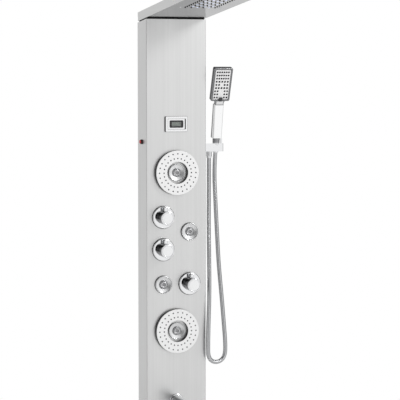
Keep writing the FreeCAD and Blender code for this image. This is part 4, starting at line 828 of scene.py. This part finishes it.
plate("handset_neck_face", box_loop(0, 11.6, 22.5, 11.2, 1.5), 9.0, 10.1, face_at, CHROME_BRIGHT,
      "hand_shower", edge=0.4)
plate("handset_plate", box_loop(0, MIDDLE, WIDE - RIM - 0.2, TALL - RIM - 0.2, 2.8), 6.3, 10.0, face_at,
      WHITE, "hand_shower", ("handset_face",), 0.4)

# rows of nozzles from the top: their pitch, the radius of their feet, and their places in pitches
NOZZLE_ROWS = [(7.6, 2.9, (-2.5, -1.5, -0.5, 0.5, 1.5, 2.5))] * 3
NOZZLE_ROWS += [(9.4, 3.1, (-2, -1, 0, 1, 2)), (9.4, 3.1, (-2, -1, 1, 2)), (9.4, 3.1, (-2, -1, 0, 1, 2))]
NOZZLE_ROWS += [(8.5, 2.9, (-2.4, -1.4, 1.4, 2.4))] * 3
ROW_PITCH, LAST_ROW = 10.65, LOW + 12.5
bm = bmesh.new()
for row, (pitch, foot, steps) in enumerate(NOZZLE_ROWS):
    nozzle = softened([(foot, 9.9), (foot, 10.2, 0.2), (foot - 0.3, 10.5, 0.2), (foot - 0.5, 11.2, 0.3),
                       (0.8, 11.2), (0.7, 10.6), (0.0, 10.6)])
    height = LAST_ROW + (len(NOZZLE_ROWS) - 1 - row) * ROW_PITCH
    for step in steps:
        lathe_into(bm, nozzle, face_at @ at(step * pitch, height, 0), 16)
finish_piece("handset_soft_nozzles", bm, SILICONE_DARK, "hand_shower", ("handset_nozzles",))
plate("selector_button", box_loop(0, LOW + 7.0, 12.0, 13.0, 2.0), 11.8, 15.75, face_at, DARK_PLASTIC_AND_SHADE,
      "spray_selector", ("handset_selector",), 0.9)
plate("selector_stem", box_loop(0, LOW + 9.8, 4.0, 4.0, 0.4), 6.9, 12.0, face_at, GREY, "spray_selector")


# ---------------------------------------------------------------- pipes inside the column
PIPE_RADIUS = 5.9
PIPES = {
    "head_pipe": ((44, -35, -673), (44, -35, -645), (70, -32, -610), (70, -30, -173), (38.5, -44, -3),
                  (0, -56.1, 71.5), (0, -48.3, 151)),
    "spout_pipe": ((59, -35, -703), (72, -35, -703), (84, -35, -735), (84, -35, -885), (84, -12, -965),
                   (84, -12, -1049), (58, -12, -1075), (0, -12, -1075), (0, -68, -1075)),
    "hand_pipe": ((7, -35, -420), (31, -35, -420), (44, -46, -380), (46, -46, -310), (52, -46, -260),
                  (86, -46, -260)),
}


def bent(corners):
    """Straight runs joined by smooth bends, as a bender leaves a rigid pipe."""
    steps = 6
    corners = [Vector(corner) for corner in corners]
    out = [corners[0]]
    for before, corner, after in zip(corners, corners[1:], corners[2:]):
        one, two = before - corner, after - corner
        reach = 0.45 * min(one.length, two.length)
        first, last = corner + one.normalized() * reach, corner + two.normalized() * reach
        for j in range(steps + 1):
            t = j / steps
            out.append((1 - t) ** 2 * first + 2 * t * (1 - t) * corner + t * t * last)
    out.append(corners[-1])
    return [p * MM for p in out]


for name, corners in PIPES.items():
    bm = bmesh.new()
    tube_into(bm, bent(corners), lambda k: PIPE_RADIUS * MM, 16)
    finish_piece(name, bm, PIPE, "column")
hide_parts("feed_pipes")


# ---------------------------------------------------------------- floor, world and lamps
FLOOR_REACH, FLOOR_LEVEL = 2.2, -1.75
floor_paint = Paint("Floor", (0.80, 0.80, 0.80), 0.6)
floor_paint.tint(floor_paint.noise(evenly(30.0), 3.0, 0.5), (0.79, 0.79, 0.79), (0.82, 0.82, 0.82))
floor_mesh = bpy.data.meshes.new("Floor")
floor_mesh.from_pydata([(x * FLOOR_REACH, y * FLOOR_REACH, FLOOR_LEVEL)
                        for x, y in ((-1, -1), (1, -1), (1, 1), (-1, 1))], [], [(0, 1, 2, 3)])
floor_mesh.materials.append(floor_paint.material)
floor = bpy.data.objects.new("Floor", floor_mesh)
bpy.context.scene.collection.objects.link(floor)

world = bpy.data.worlds.new("Studio")
bpy.context.scene.world = world
world.use_nodes = True
tree = world.node_tree
tree.nodes.clear()
out = tree.nodes.new("ShaderNodeOutputWorld")
rays = tree.nodes.new("ShaderNodeLightPath")
direction = tree.nodes.new("ShaderNodeTexCoord")
parts = tree.nodes.new("ShaderNodeSeparateXYZ")
tree.links.new(direction.outputs["Generated"], parts.inputs[0])


def span(source, start, end, low, high):
    """A soft step of one part of the direction."""
    step = tree.nodes.new("ShaderNodeMapRange")
    step.interpolation_type = "SMOOTHSTEP"
    for socket, number in (("From Min", start), ("From Max", end), ("To Min", low), ("To Max", high)):
        step.inputs[socket].default_value = number
    tree.links.new(parts.outputs[source], step.inputs["Value"])
    return step.outputs["Result"]


def combined(operation, one, two):
    made = tree.nodes.new("ShaderNodeMath")
    made.operation = operation
    tree.links.new(one, made.inputs[0])
    tree.links.new(two, made.inputs[1])
    return made.outputs[0]


def background(strength):
    """White light from all sides."""
    made = tree.nodes.new("ShaderNodeBackground")
    made.inputs["Color"].default_value = (1.0, 1.0, 1.0, 1.0)
    made.inputs["Strength"].default_value = strength
    return made


def chosen(ray, otherwise, shader):
    """One light for rays of a kind, and another for the rest."""
    made = tree.nodes.new("ShaderNodeMixShader")
    tree.links.new(rays.outputs[ray], made.inputs[0])
    tree.links.new(otherwise, made.inputs[1])
    tree.links.new(shader, made.inputs[2])
    return made.outputs[0]


# what bright metal shows of the studio: a dark flag in front, just left of the middle
studio = combined("MAXIMUM", span("X", -0.10, 0.12, 0.02, 1.0), span("Y", 0.15, 0.6, 0.0, 0.75))
studio = combined("MAXIMUM", studio, span("X", -0.52, -0.27, 0.70, 0.0))
# it is dimmer at the far right and higher up, and light again low down and straight above
studio = combined("MULTIPLY", studio, span("X", 0.70, 0.95, 1.0, 0.35))
studio = combined("MULTIPLY", studio, span("Z", 0.30, 0.75, 1.0, 0.25))
studio = combined("MAXIMUM", studio, span("Z", -0.26, -0.13, 0.75, 0.0))
studio = combined("MAXIMUM", studio, span("Z", 0.86, 0.97, 0.0, 0.80))
room, shine, backdrop = background(0.62), background(1.0), background(1.0)
tree.links.new(studio, shine.inputs["Strength"])
lit = chosen("Is Glossy Ray", room.outputs[0], shine.outputs[0])
tree.links.new(chosen("Is Camera Ray", lit, backdrop.outputs[0]), out.inputs["Surface"])


def lamp(name, place, size, power):
    """A round lamp that points at the middle of the column."""
    light = bpy.data.lights.new(name, "AREA")
    light.shape = "DISK"
    light.size = size
    light.energy = power
    holder = bpy.data.objects.new(name, light)
    holder.location = place
    aim = Vector((0.0, -0.1, -0.5))
    holder.rotation_euler = (aim - Vector(place)).to_track_quat("-Z", "Y").to_euler()
    bpy.context.scene.collection.objects.link(holder)
    return holder


lamp("Key", (2.0, -2.4, 1.6), 1.1, 45.0)
lamp("Fill", (-1.8, -2.4, 0.3), 1.6, 14.0).visible_glossy = False

bpy.context.scene.view_settings.view_transform = "Standard"
